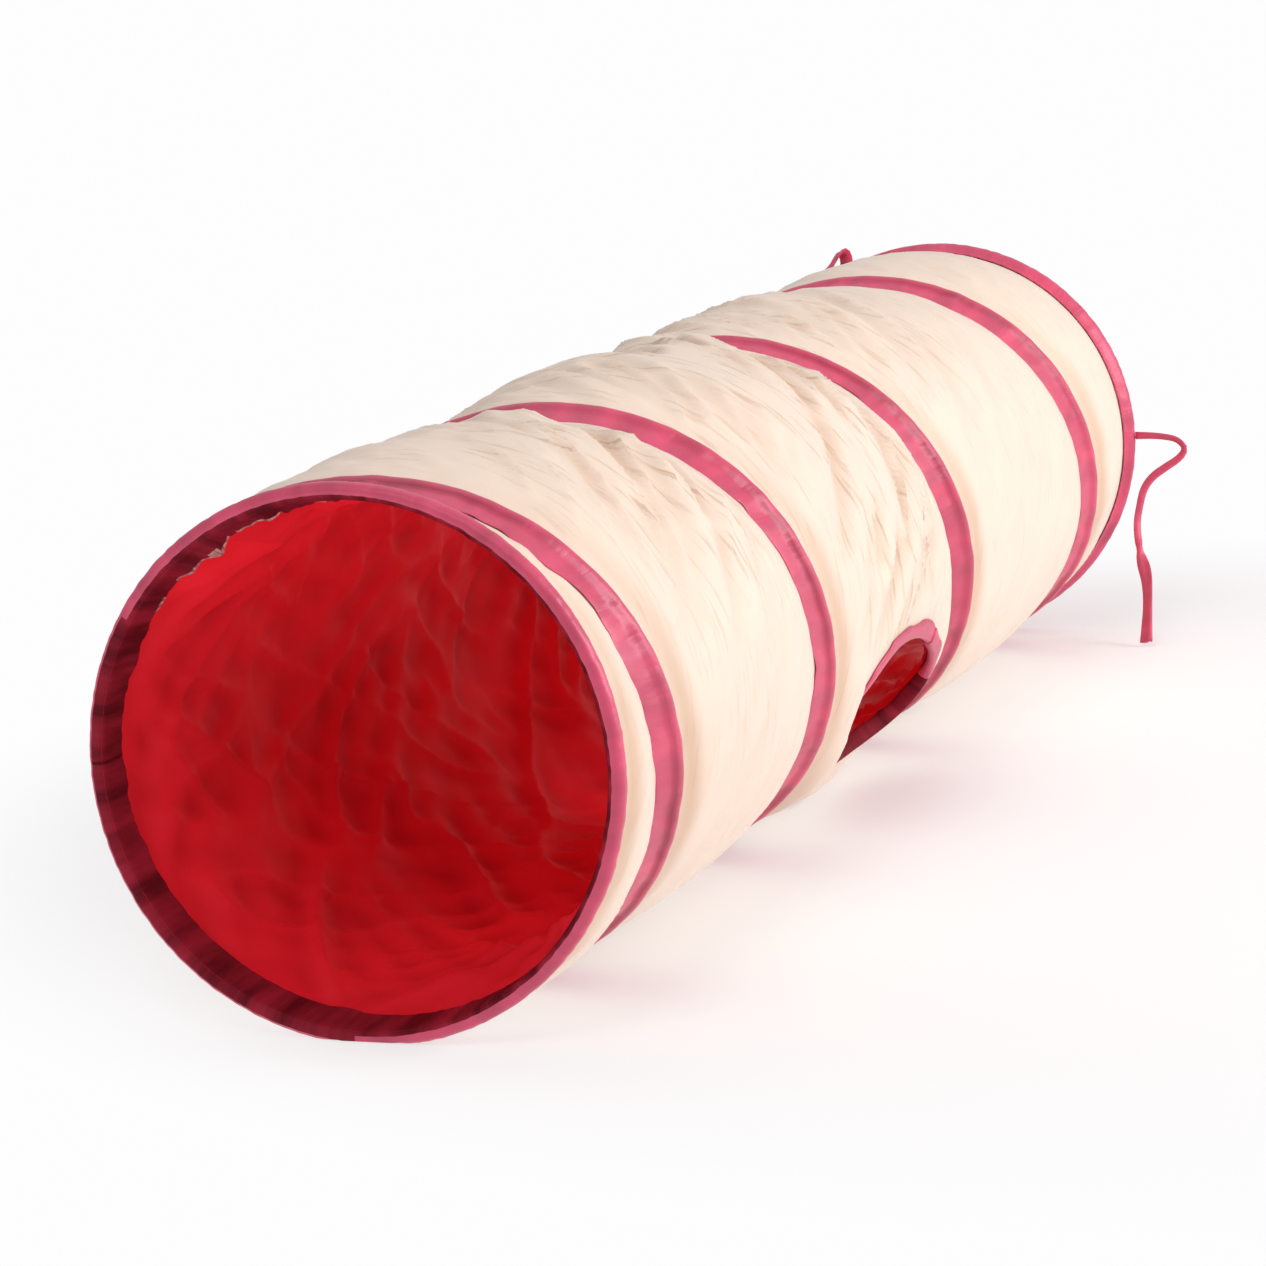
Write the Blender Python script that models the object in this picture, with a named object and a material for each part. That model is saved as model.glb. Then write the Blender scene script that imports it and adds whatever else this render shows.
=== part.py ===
"""Collapsible play tunnel for a cat.

A sewn tube of cream cloth with a red lining is held open by one sprung steel wire.
The wire closes a ring at each mouth and runs between them as an open helix, hidden
under a satin tape. Both mouths are bound in the same tape, a bound peep hole opens
low on the right side, and two ribbon ties hang from the rear ring.

All lengths are in metres. The tunnel lies along Y, its front mouth faces -Y, and
Z = 0 is the floor. A turn is one full turn of the wire; a clock angle is measured
in degrees from +X towards +Z, as seen from behind the front mouth.
"""

import math

import bmesh
import bpy
from mathutils import Vector

# Overall size
LENGTH = 1.010
RIM_RADIUS = 0.125
FOOT_DEPTH = 0.002

# Cloth and the clearances between the layers
CLOTH = 0.0006
LAYER_GAP = 0.0003
SIDES = 48
COVER_BELLY = 0.0058
BELLY_KNOTS = ((0.0, 0.0), (0.16, 0.9), (0.55, 1.0), (1.0, 0.0))

# Spring wire and the crimped sleeves that close its two rings
WIRE_DIAMETER = 0.0025
STRAND_GAP = 0.0006
SLEEVE_WALL = 0.0005
SLEEVE_INSET = 0.0010
SLEEVE_SEGMENTS = 6
HELIX_STEPS = 178
HELIX_TURNS = HELIX_STEPS / SIDES
START_CLOCK = 127.5
REAR_SPREAD_SHARE = 0.20
RING_CLIMB_SHARE = 1.0 / 6.0
WIRE_SEGMENTS = 1
MIN_SELF_GAP = 0.0004
MERGE_REACH = 0.00001

# Satin tape sewn over the helix
TAPE_FRONT_WIDTH = 0.021
TAPE_REAR_WIDTH = 0.010
TAPE_WIRE_GAP = 0.0004
RIDGE_RAMP = 0.0030
TAPE_END_SHARE = 0.125

# Binding folded round each mouth
HEM_OUTER_WIDTH = 0.016
HEM_INNER_WIDTH = 0.025
HEM_ROUND = 0.0006
HEM_RAMP = 0.0040

# Peep hole, low on the right side
PEEP_SETBACK = 0.010
PEEP_CLOCK = -35.0
PEEP_LENGTH = 0.165
PEEP_HEIGHT = 0.080
PEEP_TILT = -12.0
PEEP_SIDES = 40
BINDING_WIDTH = 0.0080
BINDING_GAP = 0.0005
CUT_OVERRUN = 0.022

# Clock angle at which the wire crosses from one section of the tunnel to the next
SPLIT_CLOCK = -33.0
FIRST_SPLIT_TURN = 0.0

# Ribbon ties on the rear ring
TIE_DIAMETER = 0.0030
TIE_STEP = 0.0090
TIE_SEGMENTS = 2

# Hand-laid routes of the two ties: distance right of the axis, distance in front of
# the rear rim, height over the floor
TIE_RIGHT_ROUTE = [
    (0.1253, 0.004, 0.1250),
    (0.1320, 0.004, 0.1250),
    (0.1420, 0.004, 0.1245),
    (0.1515, 0.004, 0.1225),
    (0.1565, 0.004, 0.1170),
    (0.1530, 0.004, 0.1110),
    (0.1450, 0.004, 0.1055),
    (0.1360, 0.004, 0.0990),
    (0.1300, 0.004, 0.0910),
    (0.1270, 0.005, 0.0800),
    (0.1260, 0.009, 0.0680),
    (0.1295, 0.018, 0.0530),
    (0.1355, 0.029, 0.0385),
    (0.1385, 0.041, 0.0240),
    (0.1400, 0.052, 0.0110),
    (0.1410, 0.059, 0.0030),
]
TIE_LEFT_ROUTE = [
    (-0.0601, 0.0040, 0.2339),
    (-0.0601, 0.0040, 0.2385),
    (-0.0608, 0.0060, 0.2425),
    (-0.0620, 0.0100, 0.2436),
    (-0.0640, 0.0140, 0.2402),
    (-0.0680, 0.0162, 0.2342),
    (-0.0788, 0.0165, 0.2257),
    (-0.0893, 0.0165, 0.2154),
    (-0.1011, 0.0155, 0.2020),
    (-0.1124, 0.0140, 0.1853),
    (-0.1218, 0.0125, 0.1649),
    (-0.1281, 0.0110, 0.1433),
    (-0.1310, 0.0100, 0.1207),
    (-0.1304, 0.0110, 0.1028),
]

# Radii of the layers, worked inwards from the rim
WIRE_RADIUS = WIRE_DIAMETER / 2
HEM_SKIN_INNER = RIM_RADIUS - CLOTH
COIL_RADIUS = HEM_SKIN_INNER - LAYER_GAP - SLEEVE_WALL - LAYER_GAP - WIRE_RADIUS
COVER_OUTER = COIL_RADIUS - WIRE_RADIUS - LAYER_GAP - SLEEVE_WALL - LAYER_GAP
COVER_INNER = COVER_OUTER - CLOTH
LINING_OUTER = COVER_INNER - LAYER_GAP
LINING_INNER = LINING_OUTER - CLOTH
FACING_OUTER = LINING_INNER - LAYER_GAP
FACING_INNER = FACING_OUTER - CLOTH
TAPE_FLAT_INNER = COVER_OUTER + LAYER_GAP
TAPE_RIDGE_INNER = COIL_RADIUS + WIRE_RADIUS + TAPE_WIRE_GAP
AXIS_HEIGHT = RIM_RADIUS - FOOT_DEPTH

# Places along the tunnel, measured from the front rim
SLEEVE_REACH = WIRE_RADIUS + LAYER_GAP + SLEEVE_WALL
STRAND_PITCH = WIRE_DIAMETER + STRAND_GAP
RING_AT = CLOTH + LAYER_GAP + SLEEVE_REACH
TWIN_AT = RING_AT + STRAND_PITCH
HEM_RIDGE_END = TWIN_AT + SLEEVE_REACH + LAYER_GAP
CLOTH_END = CLOTH + LAYER_GAP
TAPE_START = HEM_OUTER_WIDTH + LAYER_GAP
FULL_BELLY_SPAN = LENGTH / HELIX_TURNS / 2


def smooth_share(value):
    """Ease a share from 0 to 1 with level ends."""
    value = min(max(value, 0.0), 1.0)
    return value * value * (3.0 - 2.0 * value)


def clock_of(turn):
    """Clock angle in degrees after that many turns of the wire."""
    return START_CLOCK - 360.0 * turn


def wire_from_front(turn):
    """Distance of the wire's centre from the front rim.

    The wire starts with a closed ring (turn -1 to 0), climbs beside its own start,
    opens into a helix whose pitch grows towards the rear, and closes the rear ring
    the same way in reverse.
    """
    if turn < 0.0:
        climb = smooth_share(1.0 + turn / RING_CLIMB_SHARE)
        return RING_AT + STRAND_PITCH * climb
    if turn > HELIX_TURNS:
        climb = smooth_share(1.0 - (turn - HELIX_TURNS) / RING_CLIMB_SHARE)
        return LENGTH - RING_AT - STRAND_PITCH * climb
    level = 1.0 / SIDES
    share = (turn - level) / (HELIX_TURNS - 2 * level)
    share = min(max(share, 0.0), 1.0)
    eased = (1.0 - REAR_SPREAD_SHARE) * share + REAR_SPREAD_SHARE * share * share
    return TWIN_AT + (LENGTH - 2 * TWIN_AT) * eased


def skin_point(radius, clock, from_front):
    """Point on a layer of that radius, pressed flat along the bottom by its weight."""
    angle = math.radians(clock)
    height = max(radius * math.sin(angle), FOOT_DEPTH - radius)
    return Vector((radius * math.cos(angle), from_front - LENGTH / 2, height + AXIS_HEIGHT))


def split_places():
    """Distances from the front rim of the planes between the tunnel's sections."""
    first = FIRST_SPLIT_TURN + (START_CLOCK - SPLIT_CLOCK) / 360.0
    count = int(HELIX_TURNS - first) + 1
    return [wire_from_front(first + turn) for turn in range(count)]


def material(name, colour, roughness, metallic=0.0):
    """A plain finish with the piece's own colour."""
    finish = bpy.data.materials.new(name)
    finish.use_nodes = True
    shader = finish.node_tree.nodes["Principled BSDF"]
    shader.inputs["Base Color"].default_value = (*colour, 1.0)
    shader.inputs["Roughness"].default_value = roughness
    shader.inputs["Metallic"].default_value = metallic
    return finish


def add_object(name, data, finish, parent):
    """Link a piece to the scene, give it its finish and hang it on its section."""
    piece = bpy.data.objects.new(name, data)
    bpy.context.collection.objects.link(piece)
    if finish is not None:
        data.materials.append(finish)
    if parent is not None:
        piece.parent = parent
        piece.matrix_parent_inverse = parent.matrix_basis.inverted()
    return piece


def finish_mesh(name, model):
    """Turn a bmesh into a smooth-shaded mesh with its faces pointing out."""
    bmesh.ops.recalc_face_normals(model, faces=model.faces)
    mesh = bpy.data.meshes.new(name)
    model.to_mesh(mesh)
    model.free()
    mesh.shade_smooth()
    mesh.set_sharp_from_angle(angle=math.radians(35.0))
    return mesh


def extrude_rows(model, row, edges, outlines):
    """Extrude a row of edges on through more outlines; give the last row and its edges."""
    for outline in outlines:
        made = bmesh.ops.extrude_edge_only(model, edges=edges)["geom"]
        new_verts = {item for item in made if isinstance(item, bmesh.types.BMVert)}
        edges = [
            item
            for item in made
            if isinstance(item, bmesh.types.BMEdge) and set(item.verts) <= new_verts
        ]
        next_row = []
        for vert in row:
            twin = next(
                edge.other_vert(vert)
                for edge in vert.link_edges
                if edge.other_vert(vert) in new_verts
            )
            next_row.append(twin)
        for twin, point in zip(next_row, outline):
            twin.co = point
        row = next_row
    return row, edges


def skin(model, outlines):
    """Add the open skin swept by an outline through a row of places."""
    first = [model.verts.new(point) for point in outlines[0]]
    edges = [model.edges.new(pair) for pair in zip(first, first[1:])]
    extrude_rows(model, first, edges, outlines[1:])


def loft(outlines, closed):
    """Sweep a closed outline through a row of places, by extruding its edge loop.

    Closed joins the last outline to the first, as round a ring; otherwise each end
    gets a cap.
    """
    model = bmesh.new()
    first = [model.verts.new(point) for point in outlines[0]]
    ring = [model.edges.new((first[i - 1], first[i])) for i in range(len(first))]
    if not closed:
        model.faces.new(first)
    row, edges = extrude_rows(model, first, ring, outlines[1:])
    if closed:
        bmesh.ops.bridge_loops(model, edges=ring + edges)
    else:
        model.faces.new(row)
    return model


def trim(model, front, rear, fill):
    """Cut a piece off square at two places along the tunnel, and close the cuts if asked."""
    for place, outward in ((front, -1.0), (rear, 1.0)):
        cut = bmesh.ops.bisect_plane(
            model,
            geom=model.verts[:] + model.edges[:] + model.faces[:],
            dist=MERGE_REACH,
            plane_co=(0.0, place - LENGTH / 2, 0.0),
            plane_no=(0.0, outward, 0.0),
            clear_outer=True,
        )["geom_cut"]
        if fill:
            rim = [item for item in cut if isinstance(item, bmesh.types.BMEdge)]
            caps = bmesh.ops.edgeloop_fill(model, edges=rim)["faces"]
            bmesh.ops.triangulate(model, faces=caps)


def cut_by(piece, guide):
    """Cut a piece by a guide that only shapes others."""
    modifier = piece.modifiers.new(guide.name, 'BOOLEAN')
    modifier.operation = 'DIFFERENCE'
    modifier.solver = 'EXACT'
    modifier.object = guide


def tube_outline(outer, inner, front, rear, clock):
    """Cut edge of a cloth tube at one clock angle."""
    return [
        skin_point(outer, clock, front),
        skin_point(outer, clock, rear),
        skin_point(inner, clock, rear),
        skin_point(inner, clock, front),
    ]


def cloth_tube(name, outer, inner, front, rear):
    """A plain length of cloth tube."""
    clocks = [START_CLOCK - 360.0 * i / SIDES for i in range(SIDES)]
    outlines = [tube_outline(outer, inner, front, rear, clock) for clock in clocks]
    return finish_mesh(name, loft(outlines, closed=True))


def free_span(turn):
    """The cover's free stretch from one pass of the wire to the next, between tapes."""
    start = wire_from_front(max(turn, 0.0)) + TAPE_REAR_WIDTH + LAYER_GAP
    end = wire_from_front(turn + 1.0) - TAPE_FRONT_WIDTH - LAYER_GAP
    start = min(start, LENGTH - CLOTH_END)
    return start, max(start, end)


def belly_lift(share):
    """How far the cover stands out at a share of its free stretch, in straight runs."""
    share = min(max(share, 0.0), 1.0)
    for (low, rise), (high, top) in zip(BELLY_KNOTS, BELLY_KNOTS[1:]):
        if share <= high:
            return COVER_BELLY * (rise + (top - rise) * (share - low) / (high - low))


def cover_row(turn):
    """The cover's outer face from behind one pass of the wire to behind the next."""
    start, end = free_span(turn)
    clock = clock_of(turn)
    row = []
    for share, _ in BELLY_KNOTS:
        radius = COVER_OUTER + belly_lift(share) * min((end - start) / FULL_BELLY_SPAN, 1.0)
        row.append(skin_point(radius, clock, start + share * (end - start)))
    row.append(skin_point(COVER_OUTER, clock, free_span(turn + 1.0)[0]))
    return row


def cover_skin(name, front, rear):
    """Outer face of one stretch of the cover, standing out between the turns of wire."""
    model = bmesh.new()
    turns = [step / SIDES for step in range(-SIDES, HELIX_STEPS + 1)]
    skin(model, [cover_row(turn) for turn in turns])
    collar_end = free_span(0.0)[0]
    collar = []
    for turn in turns[: SIDES + 1]:
        clock = clock_of(turn)
        places = (CLOTH_END, collar_end)
        collar.append([skin_point(COVER_OUTER, clock, place) for place in places])
    skin(model, collar)
    bmesh.ops.remove_doubles(model, verts=model.verts, dist=MERGE_REACH)
    trim(model, front, rear, fill=False)
    return finish_mesh(name, model)


def wire_passes(step):
    """Places from the front rim at which the helix crosses the clock angle of a step."""
    turn = step / SIDES
    places = []
    while turn <= HELIX_TURNS:
        if turn >= 0.0:
            places.append(wire_from_front(turn))
        turn += 1.0
    return places


def hem_lift(step, from_rim):
    """How far a mouth's binding is raised to let the wire run out under it, 0 to 1.

    from_rim turns a distance from the front rim into one from this mouth's rim.
    """
    def passes_under(place):
        near = from_rim(place) + WIRE_RADIUS > HEM_RIDGE_END - LAYER_GAP
        return near and from_rim(place) - WIRE_RADIUS < HEM_OUTER_WIDTH + LAYER_GAP

    def raised(index):
        return any(passes_under(place) for place in wire_passes(index % SIDES))

    if any(raised(step + offset) for offset in (-1, 0, 1)):
        return 1.0
    if any(raised(step + offset) for offset in (-2, 2)):
        return 0.5
    return 0.0


def hem_outline(clock, lift, place):
    """Section of the binding folded round a mouth: outer leaf, nose and inner leaf."""
    flat_outer = TAPE_FLAT_INNER + CLOTH
    edge_outer = flat_outer + lift * (RIM_RADIUS - flat_outer)
    edge_inner = edge_outer - CLOTH
    ramp_end = HEM_RIDGE_END + HEM_RAMP
    section = [
        (HEM_OUTER_WIDTH, edge_outer),
        (ramp_end, edge_outer),
        (HEM_RIDGE_END, RIM_RADIUS),
        (HEM_ROUND, RIM_RADIUS),
        (0.0, RIM_RADIUS - HEM_ROUND),
        (0.0, FACING_INNER + HEM_ROUND),
        (HEM_ROUND, FACING_INNER),
        (HEM_INNER_WIDTH, FACING_INNER),
        (HEM_INNER_WIDTH, FACING_OUTER),
        (CLOTH, FACING_OUTER),
        (CLOTH, HEM_SKIN_INNER),
        (HEM_RIDGE_END, HEM_SKIN_INNER),
        (ramp_end, edge_inner),
        (HEM_OUTER_WIDTH, edge_inner),
    ]
    return [skin_point(radius, clock, place(depth)) for depth, radius in section]


def hem(name, place, from_rim):
    """Binding of one mouth, as a ring of outlines."""
    outlines = []
    for step in range(SIDES):
        clock = clock_of(step / SIDES)
        outlines.append(hem_outline(clock, hem_lift(step, from_rim), place))
    return finish_mesh(name, loft(outlines, closed=True))


def tape_outline(turn):
    """Section of the tape where it lies over the wire."""
    at = wire_from_front(turn)
    to_end = smooth_share((HELIX_TURNS - turn) / TAPE_END_SHARE)
    hem_edge = LENGTH - HEM_OUTER_WIDTH - LAYER_GAP
    front = min(at - TAPE_FRONT_WIDTH * to_end, hem_edge - RIDGE_RAMP - CLOTH)
    top = WIRE_RADIUS + TAPE_WIRE_GAP
    foot = top + RIDGE_RAMP
    inner = [
        (front, TAPE_FLAT_INNER),
        (max(at - foot, front + CLOTH), TAPE_FLAT_INNER),
        (max(at - top, front + 2 * CLOTH), TAPE_RIDGE_INNER),
        (at + top, TAPE_RIDGE_INNER),
        (at + foot, TAPE_FLAT_INNER),
        (at + TAPE_REAR_WIDTH, TAPE_FLAT_INNER),
    ]
    outer = [(place, radius + CLOTH) for place, radius in reversed(inner)]
    clock = clock_of(turn)
    return [skin_point(radius, clock, place) for place, radius in inner + outer]


def tape_strip(name, front, rear):
    """The stretch of tape that reaches into one section, trimmed at the section planes."""
    steps = []
    for step in range(int(HELIX_TURNS * SIDES) + 1):
        at = wire_from_front(step / SIDES)
        if at + TAPE_REAR_WIDTH > front and at - TAPE_FRONT_WIDTH < rear:
            steps.append(step)
    outlines = [tape_outline(step / SIDES) for step in range(steps[0], steps[-1] + 1)]
    model = loft(outlines, closed=False)
    trim(model, front, rear, fill=True)
    return finish_mesh(name, model)


def spring_wire(finish, parent):
    """The whole spring as one unbroken wire: front ring, helix and rear ring."""
    first = -SIDES
    last = int(HELIX_TURNS * SIDES) + SIDES
    turns = [step / SIDES for step in range(first, last + 1)]
    points = [skin_point(COIL_RADIUS, clock_of(t), wire_from_front(t)) for t in turns]
    print_self_gap(points)
    curve = bpy.data.curves.new("spring_wire", 'CURVE')
    curve.dimensions = '3D'
    curve.bevel_depth = WIRE_RADIUS
    curve.bevel_resolution = WIRE_SEGMENTS
    curve.use_fill_caps = True
    lay_points(curve, points)
    return add_object("spring_wire", curve, finish, parent)


def lay_points(curve, points):
    """Put a row of points on a curve as straight runs between them."""
    spline = curve.splines.new('POLY')
    spline.points.add(len(points) - 1)
    for knot, point in zip(spline.points, points):
        knot.co = (*point, 1.0)


def print_self_gap(points):
    """Measure the least gap between one turn of the wire and the next, and print it."""
    least = min(
        (points[i] - points[i + apart]).length
        for apart in (SIDES - 1, SIDES, SIDES + 1)
        for i in range(len(points) - apart)
    )
    gap = least - WIRE_DIAMETER
    print("spring_wire least gap to itself: %.2f mm" % (gap * 1000.0))
    if gap < MIN_SELF_GAP:
        raise ValueError("the spring wire touches itself")


def sleeve(name, first_turn, ring_at, twin_at):
    """Crimped sleeve that holds the wire's end beside the strand that leaves the ring."""
    start = skin_point(COIL_RADIUS, clock_of(first_turn), (ring_at + twin_at) / 2)
    end = skin_point(
        COIL_RADIUS, clock_of(first_turn + 1.0 / SIDES), (ring_at + twin_at) / 2
    )
    along = (end - start).normalized()
    across = Vector((0.0, 1.0, 0.0))
    out = along.cross(across)
    half_pitch = abs(twin_at - ring_at) / 2

    def stadium(centre, reach):
        points = []
        for side in (1.0, -1.0):
            for i in range(SLEEVE_SEGMENTS + 1):
                angle = math.pi * (i / SLEEVE_SEGMENTS - 0.5)
                y = side * (half_pitch + reach * math.cos(angle))
                z = side * reach * math.sin(angle)
                points.append(centre + across * y + out * z)
        return points

    near = start + along * SLEEVE_INSET
    far = end - along * SLEEVE_INSET
    bore = WIRE_RADIUS + LAYER_GAP
    shell = bore + SLEEVE_WALL
    outlines = [
        stadium(near, shell),
        stadium(far, shell),
        stadium(far, bore),
        stadium(near, bore),
    ]
    return finish_mesh(name, loft(outlines, closed=True))


def peep_place(grow, angle):
    """Clock angle and distance from the front rim of a point round the peep hole.

    The hole lies behind the middle between the wire's second and third passes. The
    point is the given distance outside its clear edge.
    """
    second = 1.0 + (START_CLOCK - PEEP_CLOCK) / 360.0
    middle = (wire_from_front(second) + wire_from_front(second + 1.0)) / 2
    long_way = (PEEP_LENGTH / 2 + grow) * math.cos(angle)
    short_way = (PEEP_HEIGHT / 2 + grow) * math.sin(angle)
    tilt = math.radians(PEEP_TILT)
    along = long_way * math.cos(tilt) - short_way * math.sin(tilt)
    around = long_way * math.sin(tilt) + short_way * math.cos(tilt)
    return PEEP_CLOCK + math.degrees(around / COVER_OUTER), middle + PEEP_SETBACK + along


def peep_edge(radius, grow, angle, on_cover):
    """Point round the peep hole on a layer, raised with the cover's belly if asked."""
    clock, from_front = peep_place(grow, angle)
    if on_cover:
        start, end = free_span(1.0 + (START_CLOCK - clock) / 360.0)
        radius += belly_lift((from_front - start) / (end - start))
    return skin_point(radius, clock, from_front)


def peep_angles():
    """Even steps round the peep hole."""
    return [2.0 * math.pi * i / PEEP_SIDES for i in range(PEEP_SIDES)]


def peep_binding(name):
    """Tape folded over the peep hole's cut edge, with a leaf on each face."""
    outer_low = COVER_OUTER + BINDING_GAP
    outer_high = outer_low + CLOTH
    inner_high = LINING_INNER - BINDING_GAP
    inner_low = inner_high - CLOTH
    web = CLOTH
    section = [
        (BINDING_WIDTH, outer_high, True),
        (0.0, outer_high, True),
        (0.0, inner_low, False),
        (BINDING_WIDTH, inner_low, False),
        (BINDING_WIDTH, inner_high, False),
        (web, inner_high, False),
        (web, outer_low, True),
        (BINDING_WIDTH, outer_low, True),
    ]
    outlines = [
        [peep_edge(radius, grow, angle, on_cover) for grow, radius, on_cover in section]
        for angle in peep_angles()
    ]
    return finish_mesh(name, loft(outlines, closed=True))


def peep_cutter(name):
    """The hole cut through cover and lining, a little larger than the binding's web."""
    grow = CLOTH + LAYER_GAP
    outlines = []
    low = LINING_INNER - CLOTH
    high = COVER_OUTER + COVER_BELLY + CLOTH
    for radius in (low - CUT_OVERRUN, low, high, high + CUT_OVERRUN):
        outlines.append([peep_edge(radius, grow, angle, False) for angle in peep_angles()])
    model = loft(outlines, closed=False)
    bmesh.ops.triangulate(model, faces=[f for f in model.faces if len(f.verts) > 4])
    guide = add_object(name, finish_mesh(name, model), None, None)
    guide.hide_render = True
    guide.display_type = 'WIRE'
    return guide


def smooth_route(route):
    """Evenly spaced points on a smooth curve through a route's own points."""
    knots = [Vector((x, LENGTH / 2 - in_front, z)) for x, in_front, z in route]
    padded = [2 * knots[0] - knots[1], *knots, 2 * knots[-1] - knots[-2]]
    fine = []
    parts = 16
    for a, b, c, d in zip(padded, padded[1:], padded[2:], padded[3:]):
        for i in range(parts):
            t = i / parts
            fine.append(
                0.5
                * (
                    2 * b
                    + (c - a) * t
                    + (2 * a - 5 * b + 4 * c - d) * t ** 2
                    + (3 * b - a - 3 * c + d) * t ** 3
                )
            )
    fine.append(knots[-1])
    reach = [0.0]
    for a, b in zip(fine, fine[1:]):
        reach.append(reach[-1] + (b - a).length)
    count = max(int(reach[-1] / TIE_STEP), 2)
    points = []
    place = 0
    for i in range(count + 1):
        target = reach[-1] * i / count
        while place < len(reach) - 2 and reach[place + 1] < target:
            place += 1
        span = reach[place + 1] - reach[place]
        points.append(fine[place].lerp(fine[place + 1], (target - reach[place]) / span))
    print("tie length: %.0f mm" % (reach[-1] * 1000.0))
    return points


def tie(name, route, finish, parent):
    """A ribbon tie, drawn together into a soft cord along its route."""
    curve = bpy.data.curves.new(name, 'CURVE')
    curve.dimensions = '3D'
    curve.bevel_depth = TIE_DIAMETER / 2
    curve.bevel_resolution = TIE_SEGMENTS
    curve.use_fill_caps = True
    lay_points(curve, smooth_route(route))
    return add_object(name, curve, finish, parent)


def section_empty(name, from_front):
    """Marker that carries one section and stands on its sliding axis."""
    marker = bpy.data.objects.new(name, None)
    bpy.context.collection.objects.link(marker)
    marker.location = (0.0, from_front - LENGTH / 2, AXIS_HEIGHT)
    return marker


def build_sections(markers, cuts, cream, red, satin):
    """Cover, lining and tape of every section, each trimmed at the section planes."""
    hole = peep_cutter("peep_hole_cutter")
    ends = [CLOTH_END, *cuts, LENGTH - CLOTH_END]
    tape_ends = [TAPE_START, *cuts, LENGTH - TAPE_START]
    for index, marker in enumerate(markers):
        number = index + 1
        front = ends[index] + (LAYER_GAP / 2 if index else 0.0)
        rear = ends[number] - (LAYER_GAP / 2 if number < len(markers) else 0.0)
        cover_mesh = cover_skin("cover_%d" % number, front, rear)
        lining_mesh = cloth_tube("lining_%d" % number, LINING_OUTER, LINING_INNER, front, rear)
        cover = add_object(cover_mesh.name, cover_mesh, cream, marker)
        thickness = cover.modifiers.new("cloth", 'SOLIDIFY')
        thickness.thickness = CLOTH
        thickness.offset = -1.0
        thickness.use_even_offset = True
        lining = add_object(lining_mesh.name, lining_mesh, red, marker)
        if front < peep_place(0.0, math.pi / 2)[1] < rear:
            cut_by(cover, hole)
            cut_by(lining, hole)
            binding = peep_binding("peep_hole_binding")
            add_object(binding.name, binding, satin, marker)
        tape_front = tape_ends[index] + (LAYER_GAP / 2 if index else 0.0)
        tape_rear = tape_ends[number] - (LAYER_GAP / 2 if number < len(markers) else 0.0)
        tape_mesh = tape_strip("coil_tape_%d" % number, tape_front, tape_rear)
        add_object(tape_mesh.name, tape_mesh, satin, marker)


def build():
    """Make the whole tunnel."""
    for old in list(bpy.data.objects):
        bpy.data.objects.remove(old, do_unlink=True)
    cream = material("cream_polyester", (0.86, 0.74, 0.58), 0.55)
    red = material("red_lining", (0.44, 0.010, 0.018), 0.60)
    satin = material("crimson_satin", (0.52, 0.040, 0.105), 0.38)
    steel = material("spring_steel", (0.50, 0.50, 0.52), 0.35, 1.0)

    cuts = split_places()
    names = ["front_end"]
    names += ["section_%d" % number for number in range(2, len(cuts) + 1)]
    names += ["rear_end"]
    places = [0.0, *cuts[:-1], LENGTH]
    markers = [section_empty(name, place) for name, place in zip(names, places)]
    print("section planes from the front rim, mm:", [round(c * 1000.0, 1) for c in cuts])

    front_end = markers[0]
    rear_end = markers[-1]
    spring_wire(steel, front_end)
    front_sleeve = sleeve("front_wire_sleeve", 0.0, RING_AT, TWIN_AT)
    add_object(front_sleeve.name, front_sleeve, steel, front_end)
    rear_sleeve = sleeve(
        "rear_wire_sleeve",
        HELIX_TURNS - 1.0 / SIDES,
        LENGTH - RING_AT,
        LENGTH - TWIN_AT,
    )
    add_object(rear_sleeve.name, rear_sleeve, steel, rear_end)

    front_hem = hem("front_hem", lambda depth: depth, lambda place: place)
    add_object(front_hem.name, front_hem, satin, front_end)
    rear_hem = hem("rear_hem", lambda depth: LENGTH - depth, lambda place: LENGTH - place)
    add_object(rear_hem.name, rear_hem, satin, rear_end)

    build_sections(markers, cuts, cream, red, satin)
    tie("tie_right", TIE_RIGHT_ROUTE, satin, rear_end)
    tie("tie_left", TIE_LEFT_ROUTE, satin, rear_end)


build()
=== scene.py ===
import math

import bmesh
import bpy
import numpy as np
from bpy.props import FloatProperty, FloatVectorProperty, IntProperty, PointerProperty
from mathutils import Matrix, Vector, noise


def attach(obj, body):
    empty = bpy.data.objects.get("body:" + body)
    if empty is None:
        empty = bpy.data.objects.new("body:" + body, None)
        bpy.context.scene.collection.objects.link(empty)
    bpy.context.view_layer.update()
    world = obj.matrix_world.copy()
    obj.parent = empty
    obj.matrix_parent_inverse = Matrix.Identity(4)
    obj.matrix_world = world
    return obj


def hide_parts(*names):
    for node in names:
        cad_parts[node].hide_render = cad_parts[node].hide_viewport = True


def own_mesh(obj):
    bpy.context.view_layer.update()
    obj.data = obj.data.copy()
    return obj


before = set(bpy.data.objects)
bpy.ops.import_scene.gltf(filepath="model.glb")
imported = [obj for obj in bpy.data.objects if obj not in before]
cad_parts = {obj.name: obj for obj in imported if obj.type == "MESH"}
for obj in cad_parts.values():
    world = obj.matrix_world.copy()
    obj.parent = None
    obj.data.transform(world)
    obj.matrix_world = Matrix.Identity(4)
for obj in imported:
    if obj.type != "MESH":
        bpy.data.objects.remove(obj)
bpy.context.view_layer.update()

bl_info = {
    "name": "Play Tunnel",
    "version": (1, 0, 0),
    "blender": (4, 5, 0),
    "location": "View3D > Sidebar > Play Tunnel",
    "description": "Dresses a collapsible cloth play tunnel in its fabrics",
    "category": "Object",
}

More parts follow.
